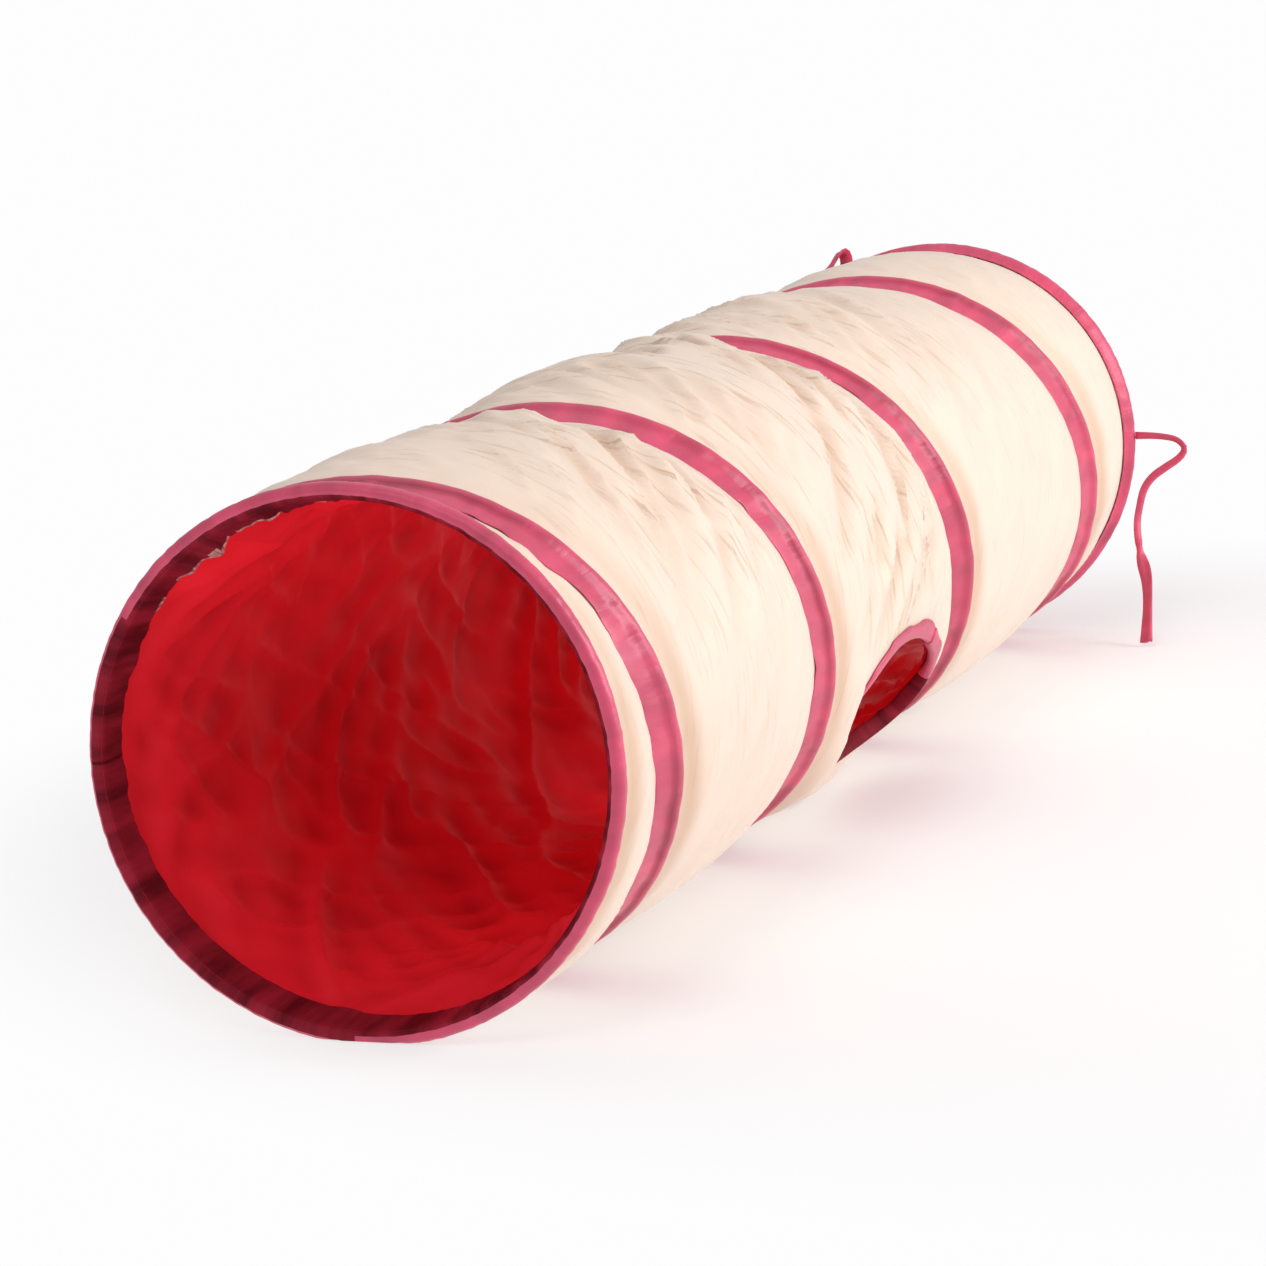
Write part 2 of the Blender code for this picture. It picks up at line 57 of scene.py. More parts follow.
# The tunnel's own sizes, in metres, as its solids have them
LENGTH = 1.010
RIM_RADIUS = 0.125
FOOT_DEPTH = 0.002
AXIS_HEIGHT = RIM_RADIUS - FOOT_DEPTH
SIDES = 48
HELIX_TURNS = 178 / SIDES
START_CLOCK = 127.5
REAR_SPREAD_SHARE = 0.20
RING_AT = 0.00295
TWIN_AT = 0.00605
RING_CLIMB_SHARE = 1.0 / 6.0
COIL_RADIUS = 0.12205
COVER_RADIUS = 0.1197
LINING_RADIUS = 0.1182
FACING_RADIUS = 0.1173
CLOTH_END = 0.0009
HEM_DEPTH = 0.016
FACING_DEPTH = 0.025
TAPE_FRONT = 0.021
TAPE_REAR = 0.010
PEEP_CLOCK = -35.0
PEEP_SETBACK = 0.010
PEEP_LENGTH = 0.165
PEEP_HEIGHT = 0.080
PEEP_TILT = math.radians(-12.0)
PEEP_LEAF = 0.008

# Routes of the two ties: right of the axis, in front of the rear rim, over the floor
TIE_RIGHT_ROUTE = [
    (0.1253, 0.004, 0.1250),
    (0.1320, 0.004, 0.1250),
    (0.1420, 0.004, 0.1245),
    (0.1515, 0.004, 0.1225),
    (0.1565, 0.004, 0.1170),
    (0.1530, 0.004, 0.1110),
    (0.1450, 0.004, 0.1055),
    (0.1360, 0.004, 0.0990),
    (0.1300, 0.004, 0.0910),
    (0.1270, 0.005, 0.0800),
    (0.1260, 0.009, 0.0680),
    (0.1295, 0.018, 0.0530),
    (0.1355, 0.029, 0.0385),
    (0.1385, 0.041, 0.0240),
    (0.1400, 0.052, 0.0110),
    (0.1410, 0.059, 0.0030),
]
TIE_LEFT_ROUTE = [
    (-0.0601, 0.0040, 0.2339),
    (-0.0601, 0.0040, 0.2385),
    (-0.0608, 0.0060, 0.2425),
    (-0.0620, 0.0100, 0.2436),
    (-0.0640, 0.0140, 0.2402),
    (-0.0680, 0.0162, 0.2342),
    (-0.0788, 0.0165, 0.2257),
    (-0.0893, 0.0165, 0.2154),
    (-0.1011, 0.0155, 0.2020),
    (-0.1124, 0.0140, 0.1853),
    (-0.1218, 0.0125, 0.1649),
    (-0.1281, 0.0110, 0.1433),
    (-0.1310, 0.0100, 0.1207),
    (-0.1304, 0.0110, 0.1028),
]


class TunnelSizes(bpy.types.PropertyGroup):
    """Sizes of the fabric's form."""

    belly: FloatProperty(
        name="Cover belly",
        description="How far the cover stands out between two turns of the wire",
        default=0.0055,
        unit='LENGTH',
    )
    crease_depth: FloatProperty(
        name="Crease depth",
        description="Depth of the creases in the cover before it settles",
        default=0.0022,
        unit='LENGTH',
    )
    lining_fold: FloatProperty(
        name="Lining fold",
        description="Depth of the folds in the lining before it settles",
        default=0.0030,
        unit='LENGTH',
    )
    around: IntProperty(
        name="Cloth mesh round the tunnel",
        description="Cells of the cloth mesh round the tunnel",
        default=126,
    )
    along: IntProperty(
        name="Cloth mesh along the tunnel",
        description="Cells of the cloth mesh along the tunnel",
        default=168,
    )
    settle_frames: IntProperty(
        name="Settling time",
        description="Frames for which the cloth settles",
        default=18,
    )
    ribbon_width: FloatProperty(
        name="Ribbon width",
        description="Width of the two ties",
        default=0.008,
        unit='LENGTH',
    )


class TunnelColours(bpy.types.PropertyGroup):
    """Colours of the fabrics."""

    cream: FloatVectorProperty(
        name="Cover",
        description="Colour of the cover",
        subtype='COLOR',
        default=(0.86, 0.69, 0.57),
    )
    red: FloatVectorProperty(
        name="Lining",
        description="Colour of the lining",
        subtype='COLOR',
        default=(0.74, 0.017, 0.032),
    )
    crimson: FloatVectorProperty(
        name="Tape",
        description="Colour of the satin tape and bindings",
        subtype='COLOR',
        default=(0.60, 0.060, 0.130),
    )
    steel: FloatVectorProperty(
        name="Wire",
        description="Colour of the spring wire",
        subtype='COLOR',
        default=(0.52, 0.52, 0.54),
    )


def sizes():
    """The chosen sizes."""
    return bpy.context.scene.tunnel_sizes


def colours():
    """The chosen colours."""
    return bpy.context.scene.tunnel_colours


# Where things are on the tunnel


def smooth_share(value):
    """Ease shares from 0 to 1 with level ends."""
    value = np.clip(value, 0.0, 1.0)
    return value * value * (3.0 - 2.0 * value)


def wire_place(turn):
    """Distance of the wire from the front rim after that many turns."""
    turn = np.asarray(turn, float)
    level = 1.0 / SIDES
    share = np.clip((turn - level) / (HELIX_TURNS - 2 * level), 0.0, 1.0)
    eased = (1.0 - REAR_SPREAD_SHARE) * share + REAR_SPREAD_SHARE * share * share
    helix = TWIN_AT + (LENGTH - 2 * TWIN_AT) * eased
    pitch = TWIN_AT - RING_AT
    before = RING_AT + pitch * smooth_share(1.0 + turn / RING_CLIMB_SHARE)
    after = LENGTH - RING_AT - pitch * smooth_share(1.0 - (turn - HELIX_TURNS) / RING_CLIMB_SHARE)
    return np.where(turn < 0.0, before, np.where(turn > HELIX_TURNS, after, helix))


def skin_points(radius, clock, place):
    """Points on a layer, pressed flat along the bottom by its weight, as rows of x, y, z."""
    angle = np.radians(clock)
    height = np.maximum(radius * np.sin(angle), FOOT_DEPTH - RIM_RADIUS + 0.0006)
    x = radius * np.cos(angle)
    y = place - LENGTH / 2 + 0.0 * x
    return np.stack(np.broadcast_arrays(x, y, height + AXIS_HEIGHT), axis=-1)


def clock_of(points):
    """Clock angle of points, in degrees, counted down from the wire's start."""
    angle = np.degrees(np.arctan2(points[:, 2] - AXIS_HEIGHT, points[:, 0]))
    return START_CLOCK - np.mod(START_CLOCK - angle, 360.0)


def clock_gap(clock, centre):
    """Degrees between clock angles, the short way round."""
    return np.mod(clock - centre + 180.0, 360.0) - 180.0


def behind_wire(clock, place):
    """Distance behind the last pass of the wire and in front of the next one."""
    turn = (START_CLOCK - clock) / 360.0
    passes = np.stack([wire_place(turn + k) for k in range(-1, 6)])
    back = np.where(passes <= place, place - passes, 9.0).min(axis=0)
    ahead = np.where(passes > place, passes - place, 9.0).min(axis=0)
    return back, ahead


def tuck(clock, place):
    """How far the tape's front edge and the cover under it fall in from the coil."""
    wave = np.sin(3.0 * np.radians(clock) + 14.0 * place)
    side = np.exp(-(((place - 0.60) / 0.05) ** 2) - (clock_gap(clock, -15.0) / 50.0) ** 2)
    inside = smooth_share((np.minimum(place, LENGTH - place) - 0.030) / 0.030)
    return (0.0016 + 0.0012 * wave + 0.0018 * side) * inside


def free_share(clock, place):
    """Share of the cloth's free stretch between two tapes, 0 to 1, and its length."""
    back, ahead = behind_wire(clock, place)
    span = np.maximum(back + ahead - TAPE_REAR - TAPE_FRONT - 0.001, 1e-6)
    return np.clip((back - TAPE_REAR - 0.0005) / span, 0.0, 1.0), span


def peep_place(grow, angle):
    """Clock angle and place of points round the peep hole, outside its clear edge."""
    second = 1.0 + (START_CLOCK - PEEP_CLOCK) / 360.0
    middle = float(wire_place(second) + wire_place(second + 1.0)) / 2 + PEEP_SETBACK
    long_way = (PEEP_LENGTH / 2 + grow) * np.cos(angle)
    short_way = (PEEP_HEIGHT / 2 + grow) * np.sin(angle)
    along = long_way * math.cos(PEEP_TILT) - short_way * math.sin(PEEP_TILT)
    around = long_way * math.sin(PEEP_TILT) + short_way * math.cos(PEEP_TILT)
    return PEEP_CLOCK + np.degrees(around / COVER_RADIUS), middle + along


def peep_polar(clock, place):
    """Where points lie against the peep hole: how far out (1 is the edge) and the angle."""
    centre_clock, centre = peep_place(-PEEP_HEIGHT / 2, 0.0)
    middle = float(centre) - (PEEP_LENGTH - PEEP_HEIGHT) / 2 * math.cos(PEEP_TILT)
    around = np.radians(np.mod(clock - PEEP_CLOCK + 180.0, 360.0) - 180.0) * COVER_RADIUS
    along = place - middle
    long_way = along * math.cos(PEEP_TILT) + around * math.sin(PEEP_TILT)
    short_way = -along * math.sin(PEEP_TILT) + around * math.cos(PEEP_TILT)
    a = long_way / (PEEP_LENGTH / 2)
    b = short_way / (PEEP_HEIGHT / 2)
    return np.hypot(a, b), np.arctan2(b, a)


def rumple(clock, place, cell, stretch, twist, seed):
    """Noise over the tunnel's skin, drawn out along lines that wind round it.

    cell is the size of a rumple across its line, stretch how much longer it is along
    it, and twist how far the line winds round, in degrees per metre.
    """
    angle = np.radians(clock + twist * place)
    scale = COVER_RADIUS / cell
    xs = np.cos(angle) * scale
    ys = np.sin(angle) * scale
    zs = place / (cell * stretch) + seed
    return np.array([noise.noise(Vector(p)) for p in zip(xs, ys, zs)])


def ridges(pattern, sharpness):
    """Turn noise into narrow ridges along the lines where it is zero."""
    return np.square(1.0 - np.minimum(np.abs(pattern) * sharpness, 1.0))


# Finishes


class Finish:
    """A material under construction."""

    def __init__(self, name, colour, roughness, metallic=0.0):
        self.material = bpy.data.materials.new(name)
        self.material.use_nodes = True
        self.tree = self.material.node_tree
        self.shader = self.tree.nodes["Principled BSDF"]
        self.set("Base Color", (*colour, 1.0))
        self.set("Roughness", roughness)
        self.set("Metallic", metallic)
        self.colour = colour
        self.normal = None

    def set(self, socket, value):
        """Set one of the shader's own values."""
        self.shader.inputs[socket].default_value = value

    def node(self, kind, **settings):
        """Add a node with its settings."""
        made = self.tree.nodes.new("ShaderNode" + kind)
        for key, value in settings.items():
            if key in made.inputs:
                made.inputs[key].default_value = value
            else:
                setattr(made, key, value)
        return made

    def link(self, source, target):
        """Join two sockets."""
        self.tree.links.new(source, target)

    def coordinates(self, kind, scale, turn=0.0):
        """Object coordinates or the piece's own UV map, scaled and turned."""
        source = self.node("TexCoord")
        mapping = self.node("Mapping")
        mapping.inputs["Scale"].default_value = scale
        mapping.inputs["Rotation"].default_value = (0.0, 0.0, turn)
        self.link(source.outputs[kind], mapping.inputs["Vector"])
        return mapping.outputs["Vector"]

    def noise(self, vector, scale, detail=3.0, distortion=0.0):
        """A noise pattern's value."""
        made = self.node("TexNoise", Scale=scale, Detail=detail, Distortion=distortion)
        self.link(vector, made.inputs["Vector"])
        return made.outputs["Fac"]

    def ramp(self, source, low, high, low_at=0.0, high_at=1.0):
        """A colour ramp between two colours."""
        made = self.node("ValToRGB")
        made.color_ramp.elements[0].position = low_at
        made.color_ramp.elements[1].position = high_at
        made.color_ramp.elements[0].color = (*low, 1.0)
        made.color_ramp.elements[1].color = (*high, 1.0)
        self.link(source, made.inputs["Fac"])
        return made.outputs["Color"]

    def tint(self, source, darker, lighter, low_at=0.3, high_at=0.7):
        """Let the colour vary between a darker and a lighter share of itself."""
        low = [min(c * darker, 1.0) for c in self.colour]
        high = [min(c * lighter, 1.0) for c in self.colour]
        self.link(self.ramp(source, low, high, low_at, high_at), self.shader.inputs["Base Color"])

    def darken(self, source, share):
        """Bring the colour down to a share of itself where a pattern is high."""
        made = self.node("MixRGB", blend_type='MULTIPLY', Color2=(*share, 1.0))
        self.link(source, made.inputs["Fac"])
        socket = self.shader.inputs["Base Color"]
        self.link(socket.links[0].from_socket, made.inputs["Color1"])
        self.link(made.outputs["Color"], socket)

    def paint_shade(self, share):
        """Paint shade where the piece's marks say it falls: in the hollows between the folds and
        along the tapes.
        """
        marks = self.node("Attribute", attribute_name="hollow")
        self.darken(marks.outputs["Fac"], share)

    def bump(self, source, depth, strength=1.0):
        """Raise the surface by a pattern; several bumps add up."""
        made = self.node("Bump", Strength=strength, Distance=depth)
        self.link(source, made.inputs["Height"])
        if self.normal is not None:
            self.link(self.normal, made.inputs["Normal"])
        self.normal = made.outputs["Normal"]
        self.link(self.normal, self.shader.inputs["Normal"])

    def vary_roughness(self, source, low, high):
        """Let the roughness follow a pattern."""
        made = self.node("MapRange")
        made.inputs["To Min"].default_value = low
        made.inputs["To Max"].default_value = high
        self.link(source, made.inputs["Value"])
        self.link(made.outputs["Result"], self.shader.inputs["Roughness"])

    def creases(self, vector, scale, width, depth, strength):
        """A net of sharp creases, as pressed cloth keeps them."""
        cells = self.node("TexVoronoi", feature='DISTANCE_TO_EDGE', Scale=scale, Randomness=1.0)
        self.link(vector, cells.inputs["Vector"])
        edge = self.node("MapRange")
        edge.inputs["From Max"].default_value = width
        self.link(cells.outputs["Distance"], edge.inputs["Value"])
        self.bump(edge.outputs["Result"], depth, strength)

    def shaded_ticks(self, stretch, turn, scale, depth, share):
        """Scattered short creases where the cloth is slack, with painted shade darkening them."""
        pattern = self.noise(self.coordinates("UV", stretch, turn), scale, 1.0)
        sparse = self.node("MapRange")
        sparse.inputs["From Min"].default_value = 0.60
        sparse.inputs["From Max"].default_value = 0.72
        self.link(pattern, sparse.inputs["Value"])
        both = self.node("Math", operation='MULTIPLY')
        self.link(sparse.outputs["Result"], both.inputs[0])
        self.link(self.node("Attribute", attribute_name="slack").outputs["Fac"], both.inputs[1])
        self.bump(both.outputs[0], depth, 0.8)
        # Painted shade on the creases.
        self.darken(both.outputs[0], share)

    def weave(self, pitch, depth):
        """Crossed threads on the piece's UV map, which is in metres."""
        vector = self.coordinates("UV", (1.0, 1.0, 1.0))
        threads = []
        for direction in ('X', 'Y'):
            wave = self.node("TexWave", bands_direction=direction, Scale=0.5 / pitch)
            wave.inputs["Distortion"].default_value = 0.4
            self.link(vector, wave.inputs["Vector"])
            threads.append(wave.outputs["Fac"])
        both = self.node("Math", operation='MAXIMUM')
        self.link(threads[0], both.inputs[0])
        self.link(threads[1], both.inputs[1])
        self.bump(both.outputs[0], depth)


def cover_finish():
    """Cream polyester taffeta: a close weave, a soft sheen and sharp small creases, with painted
    shade in its folds and creases.
    """
    made = Finish("cream_taffeta", colours().cream, 0.48)
    made.set("Sheen Weight", 0.25)
    made.set("Sheen Roughness", 0.35)
    made.set("Specular IOR Level", 0.42)
    slant = made.coordinates("UV", (1.0, 0.45, 1.0), math.radians(40.0))
    made.tint(made.noise(slant, 14.0, 4.0), 0.95, 1.02)
    made.creases(slant, 26.0, 0.16, 0.0010, 0.22)
    # Short creases, sunk and raised, each with painted shade on it.
    made.shaded_ticks((0.12, 1.0, 1.0), math.radians(6.0), 210.0, -0.0009, (0.86, 0.76, 0.66))
    made.shaded_ticks((0.16, 1.0, 1.0), math.radians(38.0), 170.0, 0.0009, (0.93, 0.88, 0.83))
    # Painted shade in the fold hollows and in the strip just behind the tapes.
    made.paint_shade((0.80, 0.67, 0.57))
    made.bump(made.noise(slant, 50.0, 2.0, 0.6), 0.0007, 0.3)
    made.vary_roughness(made.noise(slant, 40.0), 0.40, 0.58)
    made.weave(0.0005, 0.00003)
    return made.material


def lining_finish():
    """Thin red polyester lining, matte, with a visible weave and crushed creases, a faint painted
    glow that is stronger higher up, and painted shade in its fold hollows.
    """
    made = Finish("red_pongee", colours().red, 0.55)
    made.set("Specular IOR Level", 0.22)
    # Painted light: a red glow, stronger higher up, stands in for light shining through the cloth.
    made.set("Emission Color", (1.0, 0.020, 0.036, 1.0))
    height = made.node("SeparateXYZ")
    made.link(made.coordinates("Object", (1.0, 1.0, 1.0)), height.inputs["Vector"])
    painted_glow = made.node("MapRange")
    painted_glow.inputs["From Min"].default_value = 0.10
    painted_glow.inputs["From Max"].default_value = 0.25
    painted_glow.inputs["To Min"].default_value = 0.055
    painted_glow.inputs["To Max"].default_value = 0.30
    made.link(height.outputs["Z"], painted_glow.inputs["Value"])
    made.link(painted_glow.outputs["Result"], made.shader.inputs["Emission Strength"])
    uv = made.coordinates("UV", (1.0, 0.5, 1.0), math.radians(20.0))
    made.tint(made.noise(uv, 12.0, 4.0), 0.84, 1.10)
    # Painted shade in the fold hollows.
    made.paint_shade((0.60, 0.32, 0.36))
    made.creases(uv, 15.0, 0.24, 0.0014, 0.28)
    made.bump(made.noise(uv, 26.0, 2.0, 0.8), 0.0012, 0.3)
    made.weave(0.0006, 0.00004)
    return made.material


def satin_gloss(made):
    """The satin's soft coloured shine."""
    made.set("Sheen Weight", 0.36)
    made.set("Sheen Roughness", 0.30)
    made.set("Sheen Tint", (1.0, 0.55, 0.66, 1.0))
    made.set("Specular Tint", (1.0, 0.72, 0.80, 1.0))
    made.set("Specular IOR Level", 0.75)
    made.set("Anisotropic", 0.4)


def shaded_facing_finish():
    """The tape's duller reverse, crushed into fine pleats, in a darker crimson that is painted
    shade.
    """
    # Painted shade: a darker copy of the tape's crimson, for faces that lie in shade.
    shaded_crimson = [c * s for c, s in zip(colours().crimson, (0.37, 0.21, 0.20))]
    made = Finish("crimson_tape_reverse_shaded", shaded_crimson, 0.6)
    made.set("Specular IOR Level", 0.12)
    made.set("Specular Tint", (1.0, 0.45, 0.5, 1.0))
    uv = made.coordinates("UV", (1.0, 0.12, 1.0))
    # The pleats' darker and lighter lines are painted shade and painted light.
    made.tint(made.noise(uv, 95.0, 3.0), 0.50, 1.45, 0.36, 0.66)
    made.bump(made.noise(uv, 95.0, 3.0, 0.6), 0.0030, 0.8)
    made.weave(0.0005, 0.00004)
    return made.material


def satin_finish():
    """Crimson satin tape: a slanting twill, a bright sheen and fine puckers."""
    made = Finish("crimson_satin_tape", colours().crimson, 0.36)
    satin_gloss(made)
    uv = made.coordinates("UV", (1.0, 0.25, 1.0), math.radians(8.0))
    made.tint(made.noise(uv, 70.0, 3.0), 0.80, 1.16)
    made.bump(made.noise(uv, 95.0, 3.0, 0.5), 0.0016, 0.55)
    made.vary_roughness(made.noise(uv, 80.0), 0.32, 0.50)
    # Painted shade from the piece's marks, along the tape's ridge.
    made.paint_shade((0.55, 0.26, 0.34))
    twill = made.coordinates("UV", (1.0, 1.0, 1.0), math.radians(62.0))
    wave = made.node("TexWave", bands_direction='X', Scale=1100.0)
    made.link(twill, wave.inputs["Vector"])
    made.bump(wave.outputs["Fac"], 0.00002)
    return made.material


def frayed_finish():
    """The tape's raw edge, where its pale threads have come loose."""
    made = Finish("frayed_tape_edge", (0.62, 0.27, 0.26), 0.8)
    uv = made.coordinates("UV", (1.0, 0.3, 1.0))
    made.tint(made.noise(uv, 420.0, 3.0), 0.35, 1.25, 0.38, 0.60)
    made.bump(made.noise(uv, 600.0, 2.0), 0.0012)
    return made.material


def steel_finish():
    """Drawn spring wire with faint lines along it."""
    made = Finish("drawn_spring_wire", colours().steel, 0.34, 1.0)
    streaks = made.noise(made.coordinates("Object", (1.0, 0.05, 1.0)), 1800.0, 2.0)
    made.vary_roughness(streaks, 0.26, 0.42)
    made.tint(streaks, 0.9, 1.06)
    return made.material


def put_finish(piece, maker, keep=False):
    """Give a piece its finish, made once and shared; keep adds it behind the first."""
    store = bpy.context.scene.get("finishes", {})
    name = store[maker.__name__] if maker.__name__ in store else None
    if name is None:
        made = maker()
        book = dict(store)
        book[maker.__name__] = made.name
        bpy.context.scene["finishes"] = book
        name = made.name
    if not keep:
        piece.data.materials.clear()
    piece.data.materials.append(bpy.data.materials[name])


# Mesh work


def add_piece(name, model, smooth=True):
    """Turn a bmesh into a piece of the scene."""
    mesh = bpy.data.meshes.new(name)
    model.to_mesh(mesh)
    model.free()
    if smooth:
        mesh.shade_smooth()
    piece = bpy.data.objects.new(name, mesh)
    bpy.context.scene.collection.objects.link(piece)
    return piece


def get_points(mesh):
    """A mesh's points as rows."""
    flat = np.empty(len(mesh.vertices) * 3)
    mesh.vertices.foreach_get("co", flat)
    return flat.reshape(-1, 3)


def set_points(mesh, points):
    """Move a mesh's points."""
    mesh.vertices.foreach_set("co", np.ascontiguousarray(points, np.float32).ravel())
    mesh.update()


def apply_modifiers(piece):
    """Make a piece's modifiers part of its mesh."""
    graph = bpy.context.evaluated_depsgraph_get()
    made = bpy.data.meshes.new_from_object(piece.evaluated_get(graph))
    old = piece.data
    piece.modifiers.clear()
    piece.data = made
    bpy.data.meshes.remove(old)
    made.name = piece.name


def rolled_grid(around, along, spread):
    """A grid rolled up: spread turns its shares round and along into points.

    The UV map holds the flat cloth, in metres.
    """
    model = bmesh.new()
    bmesh.ops.create_grid(model, x_segments=around, y_segments=along, size=0.5)
    flat = np.array([v.co[:2] for v in model.verts]) + 0.5
    layer = model.loops.layers.uv.new("cloth")
    circumference = 2.0 * math.pi * COVER_RADIUS
    for face in model.faces:
        for loop in face.loops:
            u, v = flat[loop.vert.index]
            loop[layer].uv = (u * circumference, v * LENGTH)
    points = spread(flat[:, 0], flat[:, 1])
    for vert, point in zip(model.verts, points):
        vert.co = point
    bmesh.ops.remove_doubles(model, verts=model.verts, dist=0.0008)
    return model


def open_peep_hole(model, grow):
    """Cut the peep hole in a rolled cloth and draw its cut edge onto the hole's edge."""
    model.verts.index_update()
    points = np.array([v.co for v in model.verts])
    clock = clock_of(points)
    place = points[:, 1] + LENGTH / 2
    out, _ = peep_polar(clock, place)
    scale = 1.0 + grow / (PEEP_HEIGHT / 2)
    gone = [f for f in model.faces if max(out[v.index] for v in f.verts) < scale * 1.03]
    bmesh.ops.delete(model, geom=gone, context='FACES')
    loose = [v for v in model.verts if not v.link_faces]
    bmesh.ops.delete(model, geom=loose, context='VERTS')
    for vert in model.verts:
        if not vert.is_boundary:
            continue
        point = np.array([vert.co])
        where, angle = peep_polar(clock_of(point), point[:, 1] + LENGTH / 2)
        if where[0] > 1.6:
            continue
        radius = math.hypot(vert.co.x, vert.co.z - AXIS_HEIGHT)
        edge_clock, edge_place = peep_place(grow, angle[0])
        vert.co = skin_points(radius, edge_clock, edge_place)


def peep_turned(angle):
    """Share to which the hole's lip is turned in: fully along its lower rear side."""
    return smooth_share((0.75 - angle) / 0.60) * smooth_share((angle + 2.75) / 0.60)


def peep_lip(angle):
    """How far the cover stands out at the peep hole's edge.

    It is drawn in low at the end towards the front mouth.
    """
    away = np.mod(angle + 2.70 + math.pi, 2.0 * math.pi) - math.pi
    return 0.0036 - 0.0080 * np.exp(-np.square(away / 0.60))


def blend_to_lip(rise, clock, place):
    """Bring a cloth's rise to the peep hole's lip close to the hole."""
    out, angle = peep_polar(clock, place)
    back, ahead = behind_wire(clock, place)
    below = 0.5 + 0.5 * np.cos(angle + 2.36)
    share = smooth_share((out - 1.22 + 0.14 * below) / (0.65 - 0.42 * below))
    clear = smooth_share(np.minimum(back - TAPE_REAR, ahead - TAPE_FRONT) / 0.009)
    share = 1.0 - (1.0 - share) * clear
    return peep_lip(angle) * (1.0 - share) + rise * share


def belly_share(share):
    """Height of the cover's belly along its free stretch: steep behind the tape."""
    return share ** 0.55 * (1.0 - share) ** 0.75 / 0.4127


def settle(piece, held, flat_points, weight, push):
    """Let a cloth settle, held where it is sewn.

    flat_points give the cloth as it was cut: a little longer, wider and askew, so that
    it falls into folds. weight is the share of gravity it feels, push the air in it.
    """
    piece.shape_key_add(name="hung")
    cut = piece.shape_key_add(name="cut")
    cut.data.foreach_set("co", np.ascontiguousarray(flat_points, np.float32).ravel())
    group = piece.vertex_groups.new(name="held")
    for index, share in enumerate(held):
        if share > 0.0:
            group.add([index], float(share), 'REPLACE')
    cloth = piece.modifiers.new("settle", 'CLOTH')
    made = cloth.settings
    made.quality = 4
    made.mass = 0.02
    made.air_damping = 2.0
    made.tension_stiffness = 8.0
    made.compression_stiffness = 5.0
    made.shear_stiffness = 4.0
    made.bending_stiffness = 0.03
    made.tension_damping = 6.0
    made.compression_damping = 6.0
    made.shear_damping = 6.0
    made.bending_damping = 0.5
    made.vertex_group_mass = "held"
    made.pin_stiffness = 1.0
    made.rest_shape_key = cut
    made.effector_weights.gravity = weight
    made.use_pressure = push > 0.0
    made.uniform_pressure_force = push
    cloth.collision_settings.use_collision = False
    frames = sizes().settle_frames
    cloth.point_cache.frame_start = 1
    cloth.point_cache.frame_end = frames
    for index in range(1, frames + 1):
        bpy.context.scene.frame_set(index)
    apply_modifiers(piece)
    piece.vertex_groups.clear()
    bpy.context.scene.frame_set(1)


def refine(piece):
    """Divide a settled cloth once, rounded."""
    finer = piece.modifiers.new("finer", 'SUBSURF')
    finer.levels = 1
    finer.render_levels = 1
    finer.boundary_smooth = 'PRESERVE_CORNERS'
    apply_modifiers(piece)
    piece.data.shade_smooth()


def cap_radius(points, low, high):
    """Keep points between two distances from the tunnel's axis, above the floor."""
    flat = points[:, [0, 2]] - (0.0, AXIS_HEIGHT)
    radius = np.hypot(flat[:, 0], flat[:, 1])
    wanted = np.clip(radius, low, high)
    flat *= (wanted / np.maximum(radius, 1e-6))[:, None]
    points[:, 0] = flat[:, 0]
    points[:, 2] = np.maximum(flat[:, 1] + AXIS_HEIGHT, 0.0004)
    return points


def push_out(points, amount):
    """Move points away from the tunnel's axis by an amount each."""
    flat = points[:, [0, 2]] - (0.0, AXIS_HEIGHT)
    radius = np.hypot(flat[:, 0], flat[:, 1])
    points[:, [0, 2]] = flat * (1.0 + amount / radius)[:, None] + (0.0, AXIS_HEIGHT)
    return points


def stay_inside(points, outer_name, gap):
    """Keep points nearer to the axis than another cloth, wherever that lies."""
    outer = get_points(bpy.data.objects[outer_name].data)
    cells = (180, 250)

    def cell_of(rows):
        angle = np.arctan2(rows[:, 2] - AXIS_HEIGHT, rows[:, 0])
        around = ((angle / (2.0 * math.pi)) % 1.0 * cells[0]).astype(int) % cells[0]
        along = (rows[:, 1] / LENGTH + 0.5) * cells[1]
        return around, np.clip(along.astype(int), 0, cells[1] - 1)

    least = np.full(cells, 9.0)
    radius = np.hypot(outer[:, 0], outer[:, 2] - AXIS_HEIGHT)
    np.minimum.at(least, cell_of(outer), radius)
    limit = least[cell_of(points)] - gap
    radius = np.hypot(points[:, 0], points[:, 2] - AXIS_HEIGHT)
    return push_out(points, np.minimum(limit - radius, 0.0))


def mark(piece, name, shares):
    """Store a share for each point of a cloth, for its finish to use."""
    marks = piece.data.attributes.new(name, 'FLOAT', 'POINT')
    marks.data.foreach_set("value", np.clip(shares, 0.0, 1.0).astype(np.float32))


def hollowness(mesh, reach, sign):
    """How deep each point of a cloth lies among its neighbours, 0 to 1."""
    points = get_points(mesh)
    radius = sign * np.hypot(points[:, 0], points[:, 2] - AXIS_HEIGHT)
    ends = np.empty(len(mesh.edges) * 2, np.int32)
    mesh.edges.foreach_get("vertices", ends)
    both = np.concatenate([ends.reshape(-1, 2), ends.reshape(-1, 2)[:, ::-1]])
    count = np.bincount(both[:, 0], minlength=len(points))

    def evened(values, times):
        for _ in range(times):
            values = np.bincount(both[:, 0], values[both[:, 1]], len(points)) / np.maximum(count, 1)
        return values

    return evened(np.clip((evened(radius, 12) - radius) / reach, 0.0, 1.0), 2)


